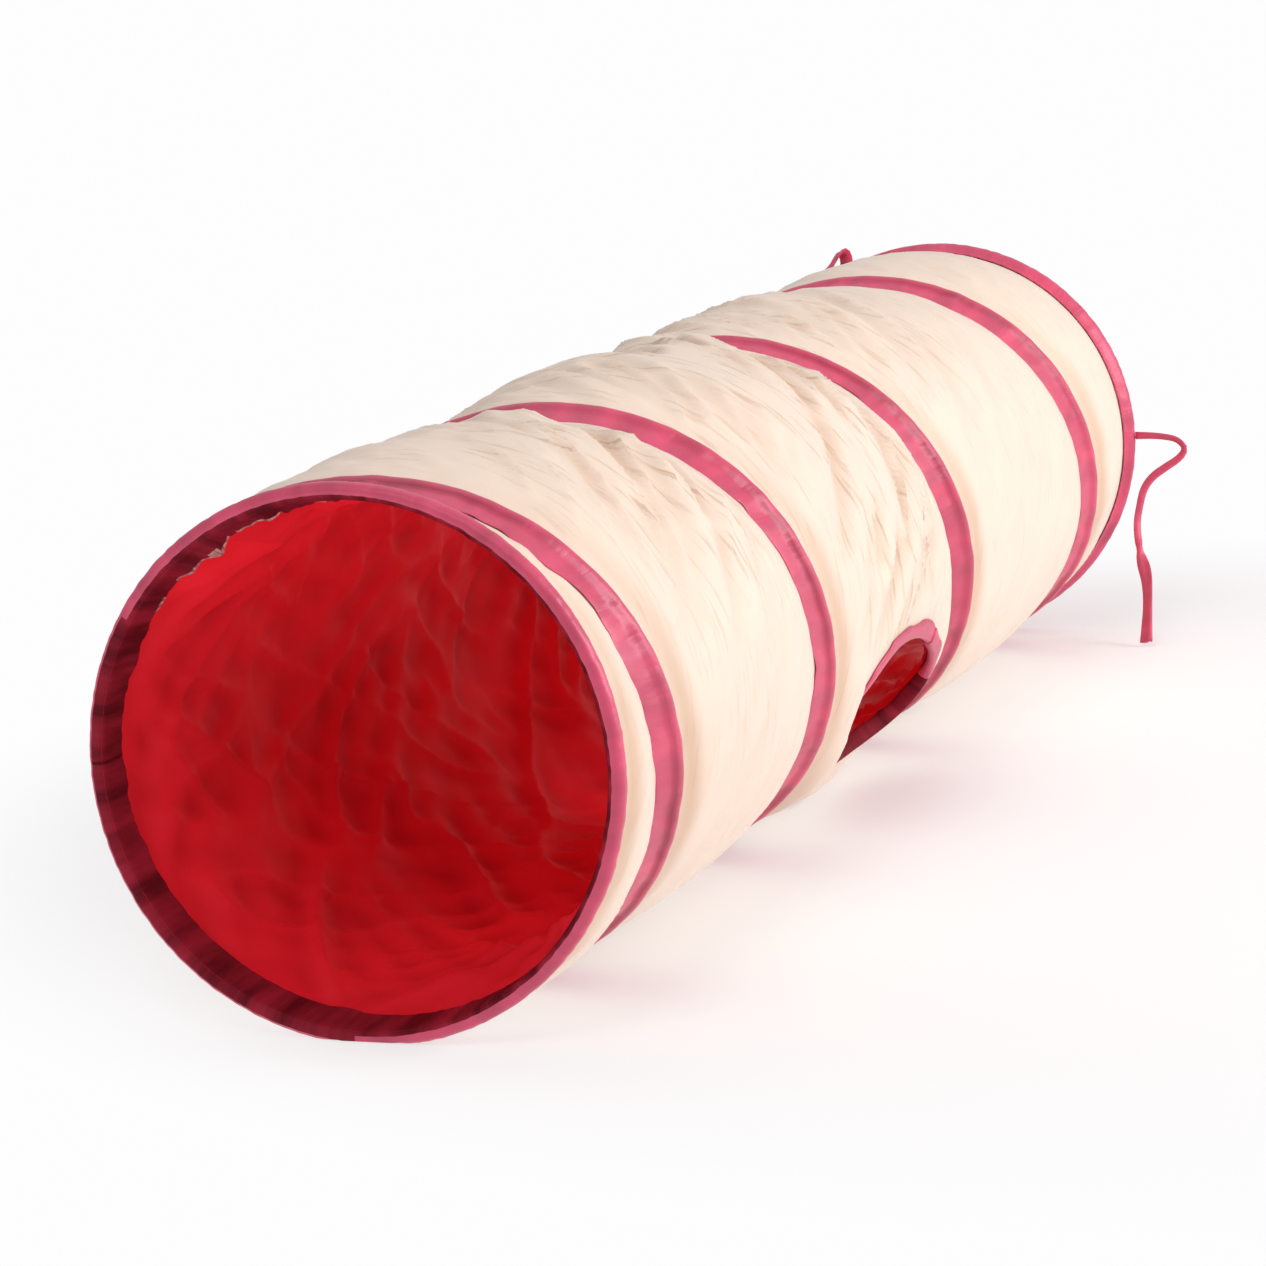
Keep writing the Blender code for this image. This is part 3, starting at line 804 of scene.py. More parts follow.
def sewn(clock, place, seam_front, seam_rear, ends):
    """How firmly the cloth is held: fully under the tape and the bindings."""
    back, ahead = behind_wire(clock, place)
    gap = np.minimum(back - seam_rear, ahead - seam_front)
    gap = np.minimum(gap, np.minimum(place, LENGTH - place) - ends)
    return np.clip(1.0 - gap / 0.004, 0.0, 1.0)


def ride_cloth(piece):
    """Hang a piece of the coil or its cloth on the front end's body, with a mesh of its own."""
    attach(piece, "front_end")
    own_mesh(piece)


def ribbon_path(route):
    """Evenly spaced points on a smooth curve through a tie's route."""
    knots = [Vector((x, LENGTH / 2 - y, z)) for x, y, z in route]
    padded = [2 * knots[0] - knots[1], *knots, 2 * knots[-1] - knots[-2]]
    fine = []
    for a, b, c, d in zip(padded, padded[1:], padded[2:], padded[3:]):
        for i in range(16):
            t = i / 16
            bend = (2 * a - 5 * b + 4 * c - d) * t ** 2 + (3 * b - a - 3 * c + d) * t ** 3
            fine.append(0.5 * (2 * b + (c - a) * t + bend))
    fine.append(knots[-1])
    reach = [0.0]
    for a, b in zip(fine, fine[1:]):
        reach.append(reach[-1] + (b - a).length)
    count = 60
    points = []
    for i in range(count + 1):
        target = reach[-1] * i / count
        j = min(int(np.searchsorted(reach, target, side='right')) - 1, len(reach) - 2)
        points.append(fine[j].lerp(fine[j + 1], (target - reach[j]) / (reach[j + 1] - reach[j])))
    return points, reach[-1]


def sweep(outlines, closed):
    """Sweep an outline through a row of places by extruding its edge loop each time."""
    model = bmesh.new()
    first = [model.verts.new(point) for point in outlines[0]]
    edges = [model.edges.new((first[i - 1], first[i])) for i in range(len(first))]
    if not closed:
        model.faces.new(first)
    row = first
    start = edges
    for outline in outlines[1:]:
        made = bmesh.ops.extrude_edge_only(model, edges=edges)["geom"]
        fresh = {item for item in made if isinstance(item, bmesh.types.BMVert)}
        edges = [
            item
            for item in made
            if isinstance(item, bmesh.types.BMEdge) and set(item.verts) <= fresh
        ]
        row = [
            next(e.other_vert(vert) for e in vert.link_edges if e.other_vert(vert) in fresh)
            for vert in row
        ]
        for vert, point in zip(row, outline):
            vert.co = point
    if closed:
        bmesh.ops.bridge_loops(model, edges=start + edges)
    else:
        model.faces.new(row)
    bmesh.ops.recalc_face_normals(model, faces=model.faces)
    return model


def lay_uv(model, place_of):
    """Give a model a UV map in metres from a function of a point."""
    layer = model.loops.layers.uv.new("cloth")
    for face in model.faces:
        for loop in face.loops:
            loop[layer].uv = place_of(loop.vert.co)


def skin_uv(point):
    """Place of a point on the tunnel's skin, unrolled."""
    angle = math.atan2(point.z - AXIS_HEIGHT, point.x)
    return (angle * COVER_RADIUS, point.y)


# Operators: one for each piece or group of like pieces


class TUNNEL_OT_stage(bpy.types.Operator):
    """Add the floor, the lamps and the camera"""

    bl_idname = "tunnel.stage"
    bl_label = "Stage"

    def execute(self, context):
        scene = context.scene
        scene.view_settings.view_transform = 'Standard'
        model = bmesh.new()
        bmesh.ops.create_grid(model, x_segments=1, y_segments=1, size=6.0)
        floor = add_piece("studio_floor", model, smooth=False)
        floor.data.materials.append(self.paper())

        world = bpy.data.worlds.new("studio")
        world.use_nodes = True
        nodes = world.node_tree.nodes
        links = world.node_tree.links
        light = nodes["Background"]
        light.inputs["Color"].default_value = (1.0, 0.985, 0.98, 1.0)
        light.inputs["Strength"].default_value = 0.54
        white = nodes.new("ShaderNodeBackground")
        white.inputs["Color"].default_value = (0.99, 0.985, 0.99, 1.0)
        path = nodes.new("ShaderNodeLightPath")
        mix = nodes.new("ShaderNodeMixShader")
        links.new(path.outputs["Is Camera Ray"], mix.inputs["Fac"])
        links.new(light.outputs[0], mix.inputs[1])
        links.new(white.outputs[0], mix.inputs[2])
        links.new(mix.outputs[0], nodes["World Output"].inputs["Surface"])
        scene.world = world

        lamps = [
            ("key_lamp", (2.6, 0.5, 1.25), 1.3, 58.0),
            ("front_lamp", (0.1, -2.6, 2.8), 1.4, 20.0),
            ("top_lamp", (-0.3, 0.5, 2.8), 2.2, 6.0),
        ]
        for name, place, size, power in lamps:
            data = bpy.data.lights.new(name, 'AREA')
            data.shape = 'DISK'
            data.size = size
            data.energy = power
            lamp = bpy.data.objects.new(name, data)
            lamp.location = place
            aim = Vector((0.0, -0.1, 0.1)) - Vector(place)
            lamp.rotation_euler = aim.to_track_quat('-Z', 'Y').to_euler()
            scene.collection.objects.link(lamp)

        data = bpy.data.cameras.new("photo_camera")
        data.sensor_width = 36.0
        data.lens = 128.57
        data.clip_start = 0.05
        camera = bpy.data.objects.new("photo_camera", data)
        yaw, pitch, roll = 0.3334, 0.1781, math.radians(-2.6)
        ahead = Vector((
            -math.sin(yaw) * math.cos(pitch),
            math.cos(yaw) * math.cos(pitch),
            -math.sin(pitch),
        ))
        level = ahead.cross(Vector((0.0, 0.0, 1.0))).normalized()
        upright = level.cross(ahead)
        right = math.cos(roll) * level + math.sin(roll) * upright
        up = -math.sin(roll) * level + math.cos(roll) * upright
        turn = Matrix((right, up, -ahead)).transposed().to_4x4()
        camera.matrix_world = Matrix.Translation((0.7456, -2.2749, 0.5219)) @ turn
        scene.collection.objects.link(camera)
        scene.camera = camera
        return {'FINISHED'}

    @staticmethod
    def paper():
        """White studio paper that runs off into the bright background."""
        made = Finish("studio_paper", (0.93, 0.925, 0.93), 0.9)
        where = made.coordinates("Object", (0.90, 0.90, 0.90))
        where.node.inputs["Location"].default_value = (-0.32, -0.09, 0.0)
        reach = made.node("TexGradient", gradient_type='SPHERICAL')
        made.link(where, reach.inputs["Vector"])
        share = made.node("MapRange", interpolation_type='SMOOTHSTEP')
        share.inputs["From Min"].default_value = 0.26
        share.inputs["From Max"].default_value = 0.52
        share.inputs["To Max"].default_value = 0.75
        made.link(reach.outputs["Fac"], share.inputs["Value"])
        bright = made.node("Emission", Color=(0.99, 0.985, 0.99, 1.0), Strength=1.0)
        mix = made.node("MixShader")
        made.link(share.outputs["Result"], mix.inputs["Fac"])
        made.link(bright.outputs["Emission"], mix.inputs[1])
        made.link(made.shader.outputs["BSDF"], mix.inputs[2])
        made.link(mix.outputs["Shader"], made.tree.nodes["Material Output"].inputs["Surface"])
        return made.material


class TUNNEL_OT_ties(bpy.types.Operator):
    """Add the two ribbon ties on the rear ring"""

    bl_idname = "tunnel.ties"
    bl_label = "Ribbon ties"

    def execute(self, context):
        self.tie("ribbon_tie_right", "tie_right", TIE_RIGHT_ROUTE, Vector((0, 0, 1)), 0.62)
        self.tie("ribbon_tie_left", "tie_left", TIE_LEFT_ROUTE, Vector((0.88, 0, 0.48)), -0.1)
        return {'FINISHED'}

    def tie(self, name, node, route, side, spread_at):
        """One satin ribbon, drawn together near its ring and opening towards its end."""
        points, length = ribbon_path(route)
        count = len(points) - 1
        outlines = []
        for i, point in enumerate(points):
            ahead = (points[min(i + 1, count)] - points[max(i - 1, 0)]).normalized()
            share = i / count
            side = (side - ahead * side.dot(ahead)).normalized()
            across = Matrix.Rotation(0.6 * math.sin(9.0 * share), 3, ahead) @ side
            out = across.cross(ahead)
            width = sizes().ribbon_width / 2
            gather = 0.62 + 0.38 * float(smooth_share((share - spread_at) / 0.08))
            knot = math.exp(-(((share - spread_at) / 0.016) ** 2))
            gather *= 1.0 - 0.3 * knot
            thick = 0.0008 + 0.0010 * (1.0 - gather) + 0.0014 * knot
            outline = []
            for k in range(12):
                angle = 2.0 * math.pi * k / 12
                reach = math.cos(angle)
                crimp = 0.0007 * math.sin(5.0 * reach + 9.0 * share) * gather
                lift = thick * math.sin(angle) + crimp
                outline.append(point + across * (width * gather * reach) + out * lift)
            outlines.append(outline)
        model = sweep(outlines, closed=False)
        lay_uv(model, lambda p: (p.z + p.y, p.x * 1.0))
        ribbon = add_piece(name, model)
        put_finish(ribbon, satin_finish)
        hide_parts(node)
        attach(ribbon, "rear_end")


class TUNNEL_OT_cover(bpy.types.Operator):
    """Add the cream cover"""

    bl_idname = "tunnel.cover"
    bl_label = "Cover"

    def execute(self, context):
        def spread(u, v):
            clock = START_CLOCK - 360.0 * u
            place = CLOTH_END + (LENGTH - 2 * CLOTH_END) * v
            return skin_points(COVER_RADIUS + self.rise(clock, place), clock, place)

        model = rolled_grid(sizes().around, sizes().along, spread)
        open_peep_hole(model, 0.0012)
        bmesh.ops.recalc_face_normals(model, faces=model.faces)
        cover = add_piece("cloth_cover", model)
        points = get_points(cover.data)
        clock = clock_of(points)
        place = points[:, 1] + LENGTH / 2
        out, _ = peep_polar(clock, place)
        held = sewn(clock, place, TAPE_FRONT, TAPE_REAR, HEM_DEPTH)
        held = np.maximum(held, np.clip((1.42 - out) / 0.12, 0.0, 1.0))
        held = np.maximum(held, np.clip(2.0 * np.maximum(*self.hang(clock, place)), 0.0, 1.0))
        crown = self.crown(clock, place)
        grown = 1.008 + 0.022 * crown
        cut = points.copy()
        cut[:, [0, 2]] = (cut[:, [0, 2]] - (0.0, AXIS_HEIGHT)) * grown[:, None]
        askew = 0.030 * place / COVER_RADIUS
        turned = np.stack([
            cut[:, 0] * np.cos(askew) - cut[:, 2] * np.sin(askew),
            cut[:, 0] * np.sin(askew) + cut[:, 2] * np.cos(askew),
        ], axis=1)
        cut[:, [0, 2]] = turned + (0.0, AXIS_HEIGHT)
        cut[:, 1] *= 1.006
        settle(cover, held, cut, 0.10, 260.0)
        refine(cover)
        points = get_points(cover.data)
        clock = clock_of(points)
        place = points[:, 1] + LENGTH / 2
        share, span = free_share(clock, place)
        out, _ = peep_polar(clock, place)
        free = np.clip(share * (1.0 - share) * 7.0, 0.0, 1.0) * np.clip((out - 1.2) / 0.2, 0, 1)
        points = push_out(points, self.drape(clock, place) * free)
        points = cap_radius(points, COVER_RADIUS - 0.009, COVER_RADIUS + 0.0125)
        set_points(cover.data, points)
        # Painted shade: a strip just behind the tape, and the fold hollows where the cloth is
        # slack.
        back, _ = behind_wire(clock, place)
        side = np.exp(-(((back - 0.0200) / 0.0100) ** 2) - (clock_gap(clock, -8.0) / 48.0) ** 2)
        slack = self.slack(clock, place)
        hollow = hollowness(cover.data, 0.0017, 1.0) * (0.25 + 1.1 * slack)
        mark(cover, "hollow", np.maximum(1.3 * hollow, side))
        mark(cover, "slack", 1.6 * slack)
        put_finish(cover, cover_finish)
        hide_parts(*["cover_%d" % n for n in range(1, 6)])
        ride_cloth(cover)
        return {'FINISHED'}

    @staticmethod
    def crown(clock, place):
        """Where the cover is slackest: on top, behind the second pass of the tape."""
        middle = (place - 0.47) / 0.12
        return np.exp(-middle ** 2 - ((clock_gap(clock, 88.0)) / 55.0) ** 2)

    @staticmethod
    def hang(clock, place):
        """The roll in front of the peep hole and the cloth that hangs out below it."""
        bulge = np.exp(-(((place - 0.388) / 0.013) ** 2) - (clock_gap(clock, -45.0) / 23.0) ** 2)
        sag = np.exp(-(((place - 0.540) / 0.060) ** 2) - (clock_gap(clock, -62.0) / 11.0) ** 2)
        return bulge, sag

    @staticmethod
    def slack(clock, place):
        """Share of slack over the whole cover, most of it between the middle bands."""
        share = 0.13 + 0.90 * TUNNEL_OT_cover.crown(clock, place)
        spots = ((0.20, 0.10, 60.0, 44.0, 0.55), (0.455, 0.07, 18.0, 34.0, 0.60),
                 (0.67, 0.05, 85.0, 40.0, 0.35))
        for middle, reach, centre, breadth, amount in spots:
            away = ((place - middle) / reach) ** 2 + (clock_gap(clock, centre) / breadth) ** 2
            share = share + amount * np.exp(-away)
        return np.minimum(share, 1.0)

    @staticmethod
    def drape(clock, place):
        """Folds that run slanting from tape to tape, deepest where the cover is slack."""
        slack = TUNNEL_OT_cover.slack(clock, place)
        soft = rumple(clock, place, 0.040, 2.2, -524.0, 9.0)
        folds = ridges(rumple(clock, place, 0.022, 3.0, -524.0, 3.0), 3.4)
        small = ridges(rumple(clock, place, 0.019, 2.8, -440.0, 5.0), 3.4)
        return slack * (0.0105 * soft + 0.0050 * folds + 0.0018 * small)

    @staticmethod
    def rise(clock, place):
        """How far the cover stands out: its belly, its bagginess and its folds."""
        share, span = free_share(clock, place)
        free = belly_share(share) * np.clip(span / 0.10, 0.0, 1.0)
        baggy = rumple(clock, place, 0.060, 1.0, -300.0, 1.0)
        folds = rumple(clock, place, 0.030, 2.8, -524.0, 3.0)
        creases = rumple(clock, place, 0.015, 3.0, -524.0, 2.0)
        crown = TUNNEL_OT_cover.crown(clock, place)
        rise = free * (sizes().belly * (1.0 + 0.7 * baggy) + 0.0035 * crown)
        depth = sizes().crease_depth * np.clip(4.0 * share * (1.0 - share), 0.0, 1.0)
        slack = TUNNEL_OT_cover.slack(clock, place)
        rise += depth * (0.3 + 2.4 * slack) * (folds - 0.5 * np.abs(creases))
        bulge, sag = TUNNEL_OT_cover.hang(clock, place)
        rise += (0.0108 * bulge + 0.0130 * sag) * free
        _, ahead = behind_wire(clock, place)
        low = np.clip((ahead - 0.004) / 0.017, 0.0, 1.0) * smooth_share((0.037 - ahead) / 0.016)
        rise -= tuck(clock, place + ahead - TAPE_FRONT) * low
        return blend_to_lip(rise, clock, place)


class TUNNEL_OT_lining(bpy.types.Operator):
    """Add the red lining"""

    bl_idname = "tunnel.lining"
    bl_label = "Lining"

    def execute(self, context):
        def spread(u, v):
            clock = START_CLOCK - 360.0 * u
            place = CLOTH_END + (LENGTH - 2 * CLOTH_END) * v
            return skin_points(LINING_RADIUS - self.sink(clock, place), clock, place)

        model = rolled_grid(sizes().around, sizes().along, spread)
        open_peep_hole(model, 0.0012)
        bmesh.ops.recalc_face_normals(model, faces=model.faces)
        bmesh.ops.reverse_faces(model, faces=model.faces)
        lining = add_piece("cloth_lining", model)
        points = get_points(lining.data)
        clock = clock_of(points)
        place = points[:, 1] + LENGTH / 2
        out, _ = peep_polar(clock, place)
        held = sewn(clock, place, 0.004, 0.004, FACING_DEPTH + 0.002)
        held = np.maximum(held, np.clip((1.42 - out) / 0.12, 0.0, 1.0))
        cut = points.copy()
        cut[:, [0, 2]] = (cut[:, [0, 2]] - (0.0, AXIS_HEIGHT)) * 1.022 + (0.0, AXIS_HEIGHT)
        cut[:, 1] *= 1.014
        settle(lining, held, cut, 0.30, 0.0)
        refine(lining)
        points = get_points(lining.data)
        clock = clock_of(points)
        place = points[:, 1] + LENGTH / 2
        free = np.clip((np.minimum(place, LENGTH - place) - FACING_DEPTH) / 0.02, 0.0, 1.0)
        fine = ridges(rumple(clock, place, 0.044, 2.8, 330.0, 15.0), 2.6)
        fine += 0.6 * ridges(rumple(clock, place, 0.036, 2.6, -260.0, 16.0), 2.8)
        points = push_out(points, -0.0050 * fine * free)
        points = cap_radius(points, LINING_RADIUS - 0.017, LINING_RADIUS)
        set_points(lining.data, stay_inside(points, "cloth_cover", 0.0006))
        # Painted shade in the lining's fold hollows.
        mark(lining, "hollow", hollowness(lining.data, 0.0016, -1.0))
        put_finish(lining, lining_finish)
        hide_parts(*["lining_%d" % n for n in range(1, 6)])
        ride_cloth(lining)
        return {'FINISHED'}

    @staticmethod
    def sink(clock, place):
        """How far the lining's folds stand in from the coil."""
        back, ahead = behind_wire(clock, place)
        span = back + ahead
        share = back / span
        free = np.clip(4.0 * share * (1.0 - share), 0.0, 1.0)
        free *= np.clip((np.minimum(place, LENGTH - place) - FACING_DEPTH) / 0.03, 0.0, 1.0)
        folds = rumple(clock, place, 0.042, 2.6, 420.0, 11.0)
        creases = rumple(clock, place, 0.032, 2.6, -300.0, 12.0)
        wander = rumple(clock, place, 0.070, 1.0, 0.0, 13.0)
        depth = 0.8 + 1.0 * wander + 2.4 * np.abs(folds) + 1.5 * np.abs(creases)
        sink = np.maximum(free * sizes().lining_fold * depth, 0.0)
        return -blend_to_lip(-sink, clock, place)


class TUNNEL_OT_coil_tape(bpy.types.Operator):
    """Add the satin tape over the coil"""

    bl_idname = "tunnel.coil_tape"
    bl_label = "Coil tape"

    section = [
        (-0.0210, 0.1202), (-0.0190, 0.1205), (-0.0150, 0.1206), (-0.0115, 0.1207),
        (-0.0085, 0.1209), (-0.0062, 0.1214), (-0.0044, 0.1225), (-0.0028, 0.1237),
        (-0.0012, 0.12425), (0.0006, 0.12435), (0.0022, 0.1240), (0.0036, 0.1229),
        (0.0050, 0.1216), (0.0066, 0.1209), (0.0084, 0.1207), (0.0100, 0.1206),
    ]

    def execute(self, context):
        steps = int(HELIX_TURNS * 300)
        turns = np.arange(steps + 1) / 300.0
        outlines = [self.outline(turn) for turn in turns]
        model = sweep(outlines, closed=False)
        lay_uv(model, skin_uv)
        tape = add_piece("satin_coil_tape", model)
        tape.data.set_sharp_from_angle(angle=math.radians(50.0))
        points = get_points(tape.data)
        clock = clock_of(points)
        place = points[:, 1] + LENGTH / 2
        # Painted shade along the front flank of the tape's ridge, and on its front part just behind
        # the peep hole.
        _, ahead = behind_wire(clock, place)
        flank_shade = np.exp(-(((ahead - 0.0046) / 0.0020) ** 2))
        side = np.exp(-(((place - 0.59) / 0.04) ** 2) - (clock_gap(clock, -20.0) / 45.0) ** 2)
        flank_shade = 0.75 * flank_shade + 0.75 * side * (ahead < TAPE_FRONT + 0.004)
        mark(tape, "hollow", flank_shade * (0.75 + 0.5 * np.sin(place * 41.0 + np.radians(clock) * 5.0)))
        put_finish(tape, satin_finish)
        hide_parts(*["coil_tape_%d" % n for n in range(1, 6)])
        ride_cloth(tape)
        return {'FINISHED'}

    def outline(self, turn):
        """Section of the tape at one turn, with its puckers and its wavering edge."""
        clock = START_CLOCK - 360.0 * turn
        at = float(wire_place(turn))
        reach = turn * 2.0 * math.pi * COVER_RADIUS
        sunk = float(tuck(clock, at - TAPE_FRONT))
        narrowing = float(smooth_share((HELIX_TURNS - turn) / 0.125))
        low = HEM_DEPTH - 0.0015
        high = LENGTH - HEM_DEPTH + 0.0015
        outer = []
        inner = []
        for depth, radius in self.section:
            share = (depth + TAPE_FRONT) / (TAPE_FRONT + TAPE_REAR)
            radius -= sunk * min(max((-depth - 0.004) / 0.017, 0.0), 1.0)
            waver = noise.noise(Vector((reach / 0.030, share * 0.6, 4.0)))
            pucker = noise.noise(Vector((reach / 0.0090, share * 0.5, 7.0)))
            edge = max(1.0 - share / 0.30, 0.0)
            shift = 0.0058 * waver * edge + 0.0026 * pucker * edge
            if depth < 0.0:
                place = at + depth * narrowing + shift
            else:
                place = at + depth
            lift = 0.0010 * max(pucker + 0.30, 0.0) * (1.0 - edge) * (depth < -0.004)
            lift += 0.0004 * (pucker + 0.5) + 0.0010 * max(waver, 0.0) * edge
            tucked = min(max(place, low), high)
            hidden = 0.0005 * (place < low + 0.002) + 0.0005 * (place > high - 0.002)
            outer.append(skin_points(radius + lift - hidden, clock, tucked))
            inner.append(skin_points(radius + lift - hidden - 0.0004, clock, tucked))
        return outer + inner[::-1]


class TUNNEL_OT_bindings(bpy.types.Operator):
    """Add the satin bindings of both mouths"""

    bl_idname = "tunnel.bindings"
    bl_label = "Mouth bindings"

    section = [
        (0.0160, 0.1203), (0.0145, 0.1206), (0.0128, 0.1210), (0.0112, 0.1216),
        (0.0096, 0.1228), (0.0080, 0.1241), (0.0063, 0.1248), (0.0045, 0.1250),
        (0.0028, 0.1248), (0.0014, 0.1241), (0.0004, 0.1229), (0.0000, 0.1215),
        (0.0001, 0.1199), (0.0006, 0.1186), (0.0016, 0.1178), (0.0034, 0.1174),
        (0.0070, 0.1173), (0.0110, 0.1173), (0.0150, 0.1173), (0.0190, 0.1173),
        (0.0225, 0.1173), (0.0250, 0.1173),
    ]

    def execute(self, context):
        self.binding("satin_front_binding", "front_hem", "front_end", False)
        self.binding("satin_rear_binding", "rear_hem", "rear_end", True)
        return {'FINISHED'}

    def binding(self, name, node, body, rear):
        """One mouth's binding: outer leaf, rolled nose over the ring, puckered facing."""
        outlines = []
        count = 480
        for step in range(count):
            clock = START_CLOCK - 360.0 * step / count
            outlines.append(self.outline(clock, rear))
        model = sweep(outlines, closed=True)
        lay_uv(model, skin_uv)
        piece = add_piece(name, model)
        piece.data.set_sharp_from_angle(angle=math.radians(60.0))
        put_finish(piece, satin_finish)
        put_finish(piece, shaded_facing_finish, keep=True)
        put_finish(piece, frayed_finish, keep=True)
        for face in piece.data.polygons:
            across, _, up = face.center
            radius = math.hypot(across, up - AXIS_HEIGHT)
            depth = LENGTH / 2 - abs(face.center.y)
            clock = math.degrees(math.atan2(up - AXIS_HEIGHT, across))
            # Faces inside the mouth, and at the left more of the nose, take the darker crimson of
            # painted shade.
            nose = 0.1229 if 148.0 < clock % 360.0 < 268.0 else 0.1200
            inner = radius < 0.1187 or radius < nose and depth < 0.0012
            edge = (FACING_DEPTH - 0.0018) * (1.0 - self.shortened(clock, rear))
            frayed = radius < 0.1182 and depth > edge and 96.0 < clock < 146.0
            face.material_index = 2 if frayed and not rear else int(inner)
        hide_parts(node)
        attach(piece, body)

    def outline(self, clock, rear):
        """Section of the binding at one clock angle."""
        angle = math.radians(clock)
        seed = 31.0 if rear else 21.0
        turn = (START_CLOCK - clock) / 360.0
        if rear:
            turn_at = HELIX_TURNS - (HELIX_TURNS - turn) % 1.0
            from_rim = LENGTH - float(wire_place(turn_at))
        else:
            from_rim = float(wire_place(turn))
        raised = math.exp(-(((from_rim - 0.0125) / 0.0055) ** 2))
        outer = []
        inner = []
        ring = Vector((math.cos(angle), math.sin(angle), seed))
        for depth, radius in self.section:
            facing = radius < 0.1180 and depth > 0.003
            leaf = radius > 0.1205 and depth > 0.011
            ripple = noise.noise(Vector((ring.x * 9.0, ring.y * 9.0, seed + depth * 60.0)))
            crimp = noise.noise(Vector((ring.x * 30.0, ring.y * 30.0, seed + depth * 60.0)))
            notch = noise.noise(Vector((ring.x * 90.0, ring.y * 90.0, seed)))
            place = depth
            rise = 0.0004 * crimp
            if facing:
                share = depth / FACING_DEPTH
                rise = -0.0030 * share * abs(ripple) - 0.0016 * share * abs(crimp)
                loose = 0.25 + 0.75 * self.curl(clock, rear) / 0.0051
                rise *= loose
                place *= 1.0 - self.shortened(clock, rear)
                place += (0.0034 * ripple + 0.0012 * crimp + 0.0009 * notch) * loose * share ** 3
                rise -= self.curl(clock, rear) * share ** 2 * (0.7 + 0.6 * ripple)
            elif leaf:
                share = (depth - 0.011) / 0.005
                rise = 0.0003 * crimp + raised * (RIM_RADIUS - radius)
                place += 0.0007 * (ripple + 0.4 * crimp) * share
            elif depth > 0.007 and radius > 0.1205:
                rise = raised * (RIM_RADIUS - radius)
            thick = 0.0005
            spot = LENGTH - place if rear else place
            outer.append(skin_points(min(radius + rise, RIM_RADIUS), clock, spot))
            back = 0.0005 if radius > 0.1205 or depth < 0.001 else -thick
            under = place + (0.0006 if depth < 0.0035 else 0.0)
            spot = LENGTH - under if rear else under
            inner.append(skin_points(min(radius + rise, RIM_RADIUS) - back, clock, spot))
        return outer + inner[::-1]

    @staticmethod
    def curl(clock, rear):
        """How far the facing's free edge falls away from the lining, up at the left."""
        centre = 60.0 if rear else 118.0
        away = (clock - centre + 180.0) % 360.0 - 180.0
        return 0.0045 * math.exp(-((away / 30.0) ** 2)) + 0.0006


    @staticmethod
    def shortened(clock, rear):
        """Share by which the front facing is cut shorter, at the left and up at the left."""
        if rear:
            return 0.0
        left = float(clock_gap(clock, 185.0))
        top = float(clock_gap(clock, 118.0))
        return 0.26 * math.exp(-((left / 42.0) ** 2)) + 0.46 * math.exp(-((top / 24.0) ** 2))


class TUNNEL_OT_peep_binding(bpy.types.Operator):
    """Add the binding round the peep hole"""

    bl_idname = "tunnel.peep_binding"
    bl_label = "Peep hole binding"

    def execute(self, context):
        start = math.radians(64.0)
        count = 150
        turn = 2.0 * math.pi * 1.022
        outlines = [self.outline(start + turn * i / count, i / count) for i in range(count + 1)]
        model = sweep(outlines, closed=False)
        lay_uv(model, skin_uv)
        piece = add_piece("satin_peep_binding", model)
        put_finish(piece, satin_finish)
        put_finish(piece, shaded_facing_finish, keep=True)
        middle = np.array([tuple(face.center) for face in piece.data.polygons])
        _, angle = peep_polar(clock_of(middle), middle[:, 1] + LENGTH / 2)
        # The turned-in lip takes the darker crimson of painted shade.
        for face, turned in zip(piece.data.polygons, peep_turned(angle)):
            face.material_index = int(turned > 0.5)
        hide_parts("peep_hole_binding")
        ride_cloth(piece)
        return {'FINISHED'}

    @staticmethod
    def outline(angle, share):
        """Section of the folded tape at one angle, one end lying over the other."""
        over = 0.0006 * float(smooth_share((share - 0.95) / 0.03))
        waver = noise.noise(Vector((math.cos(angle) * 3.4, math.sin(angle) * 3.4, 41.0)))
        pucker = noise.noise(Vector((math.cos(angle) * 9.0, math.sin(angle) * 9.0, 43.0)))
        leaf = PEEP_LEAF + 0.0008 + 0.0036 * waver + 0.0012 * pucker
        away = math.remainder(angle, 2.0 * math.pi)
        lip = float(peep_lip(away))
        turned = float(peep_turned(away))
        top = COVER_RADIUS + lip + 0.0011 + over
        low = LINING_RADIUS + lip - 0.0014 - over
        section = [
            (leaf, top), (leaf * 0.6, top + 0.0003 + 0.0004 * pucker), (0.0016, top + 0.0002),
            (-over, top - 0.0009), (-over - 0.0002, (top + low) / 2), (-over, low + 0.0008),
            (0.0016, low - 0.0001), (leaf * 0.7, low), (leaf, low),
            (leaf, low + 0.0005), (0.0020, low + 0.0007), (0.0009, (top + low) / 2),
            (0.0020, top - 0.0009), (leaf, top - 0.0006),
        ]
        upright = [
            (0.0020, top + 0.0002), (0.0010, top + 0.0006), (-0.0004, top + 0.0002),
            (-0.0010, top - 0.0018), (-0.0012, top - 0.0040), (-0.0010, top - 0.0062),
            (-0.0004, top - 0.0080 - 0.001 * waver), (0.0002, top - 0.0081 - 0.001 * waver),
            (0.0003, top - 0.0076), (0.0001, top - 0.0062), (-0.0002, top - 0.0040),
            (0.0000, top - 0.0022), (0.0006, top - 0.0010), (0.0020, top - 0.0006),
        ]
        points = []
        for (grow, radius), (grow_in, radius_in) in zip(section, upright):
            grow += (grow_in - grow) * turned
            radius += (radius_in - radius) * turned
            clock, place = peep_place(grow, angle)
            points.append(skin_points(radius, clock, place))
        return points


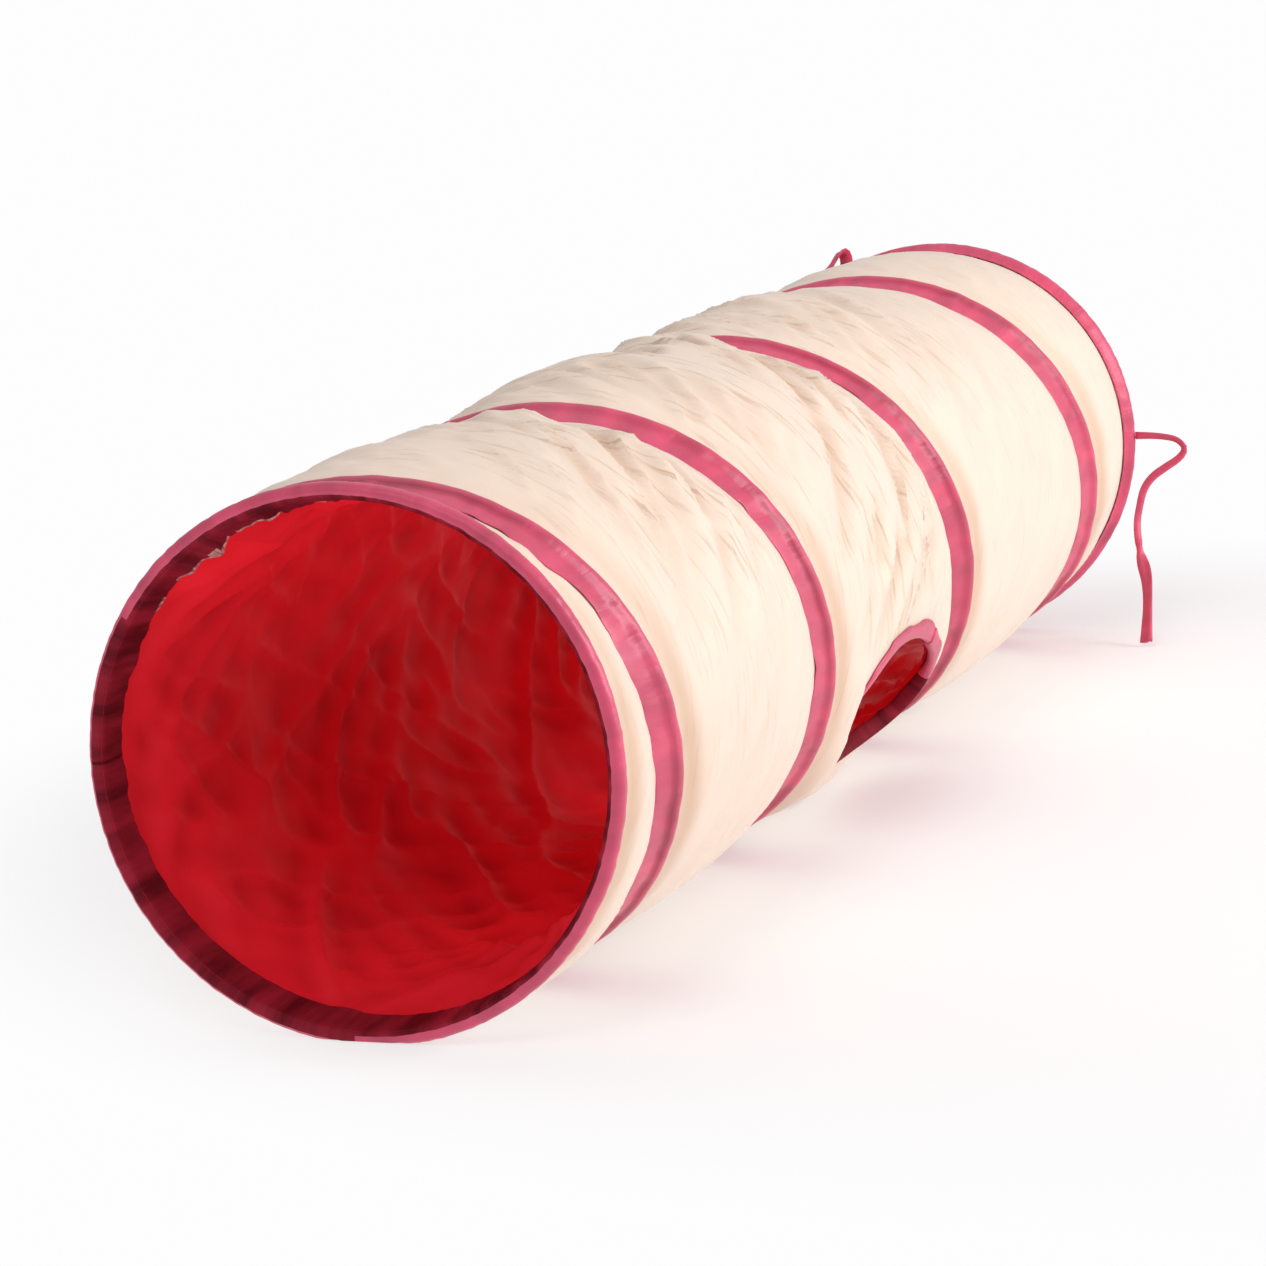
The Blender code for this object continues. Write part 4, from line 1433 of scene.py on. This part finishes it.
class TUNNEL_OT_spring(bpy.types.Operator):
    """Add the spring wire and finish its sleeves"""

    bl_idname = "tunnel.spring"
    bl_label = "Spring wire"

    def execute(self, context):
        turns = np.arange(-SIDES, int(HELIX_TURNS * SIDES) + SIDES + 1) / SIDES
        outlines = []
        for turn in turns:
            clock = START_CLOCK - 360.0 * turn
            at = float(wire_place(turn))
            outline = []
            for k in range(8):
                angle = 2.0 * math.pi * k / 8
                radius = COIL_RADIUS + 0.00122 * math.cos(angle)
                outline.append(skin_points(radius, clock, at + 0.00122 * math.sin(angle)))
            outlines.append(outline)
        wire = add_piece("coil_spring_wire", sweep(outlines, closed=False))
        put_finish(wire, steel_finish)
        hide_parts("spring_wire")
        ride_cloth(wire)
        for node in ("front_wire_sleeve", "rear_wire_sleeve"):
            put_finish(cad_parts[node], steel_finish)
        return {'FINISHED'}


OPERATORS = (
    TUNNEL_OT_stage,
    TUNNEL_OT_ties,
    TUNNEL_OT_spring,
    TUNNEL_OT_cover,
    TUNNEL_OT_lining,
    TUNNEL_OT_coil_tape,
    TUNNEL_OT_bindings,
    TUNNEL_OT_peep_binding,
)


class TUNNEL_PT_panel(bpy.types.Panel):
    """Lists the tunnel's pieces and their sizes"""

    bl_label = "Play Tunnel"
    bl_idname = "TUNNEL_PT_panel"
    bl_space_type = 'VIEW_3D'
    bl_region_type = 'UI'
    bl_category = "Play Tunnel"

    def draw(self, context):
        for group in (context.scene.tunnel_sizes, context.scene.tunnel_colours):
            for name in group.__annotations__:
                self.layout.prop(group, name)
        for operator in OPERATORS:
            self.layout.operator(operator.bl_idname)


CLASSES = (TunnelSizes, TunnelColours, *OPERATORS, TUNNEL_PT_panel)


def register():
    """Register the classes and hang the settings on the scene."""
    for cls in CLASSES:
        bpy.utils.register_class(cls)
    bpy.types.Scene.tunnel_sizes = PointerProperty(type=TunnelSizes)
    bpy.types.Scene.tunnel_colours = PointerProperty(type=TunnelColours)


def unregister():
    """Take the settings and classes away again."""
    del bpy.types.Scene.tunnel_colours
    del bpy.types.Scene.tunnel_sizes
    for cls in reversed(CLASSES):
        bpy.utils.unregister_class(cls)


def main():
    """Register the classes, then build the stage and every piece."""
    register()
    for operator in OPERATORS:
        group, name = operator.bl_idname.split(".")
        getattr(getattr(bpy.ops, group), name)()


if __name__ == "__main__":
    main()
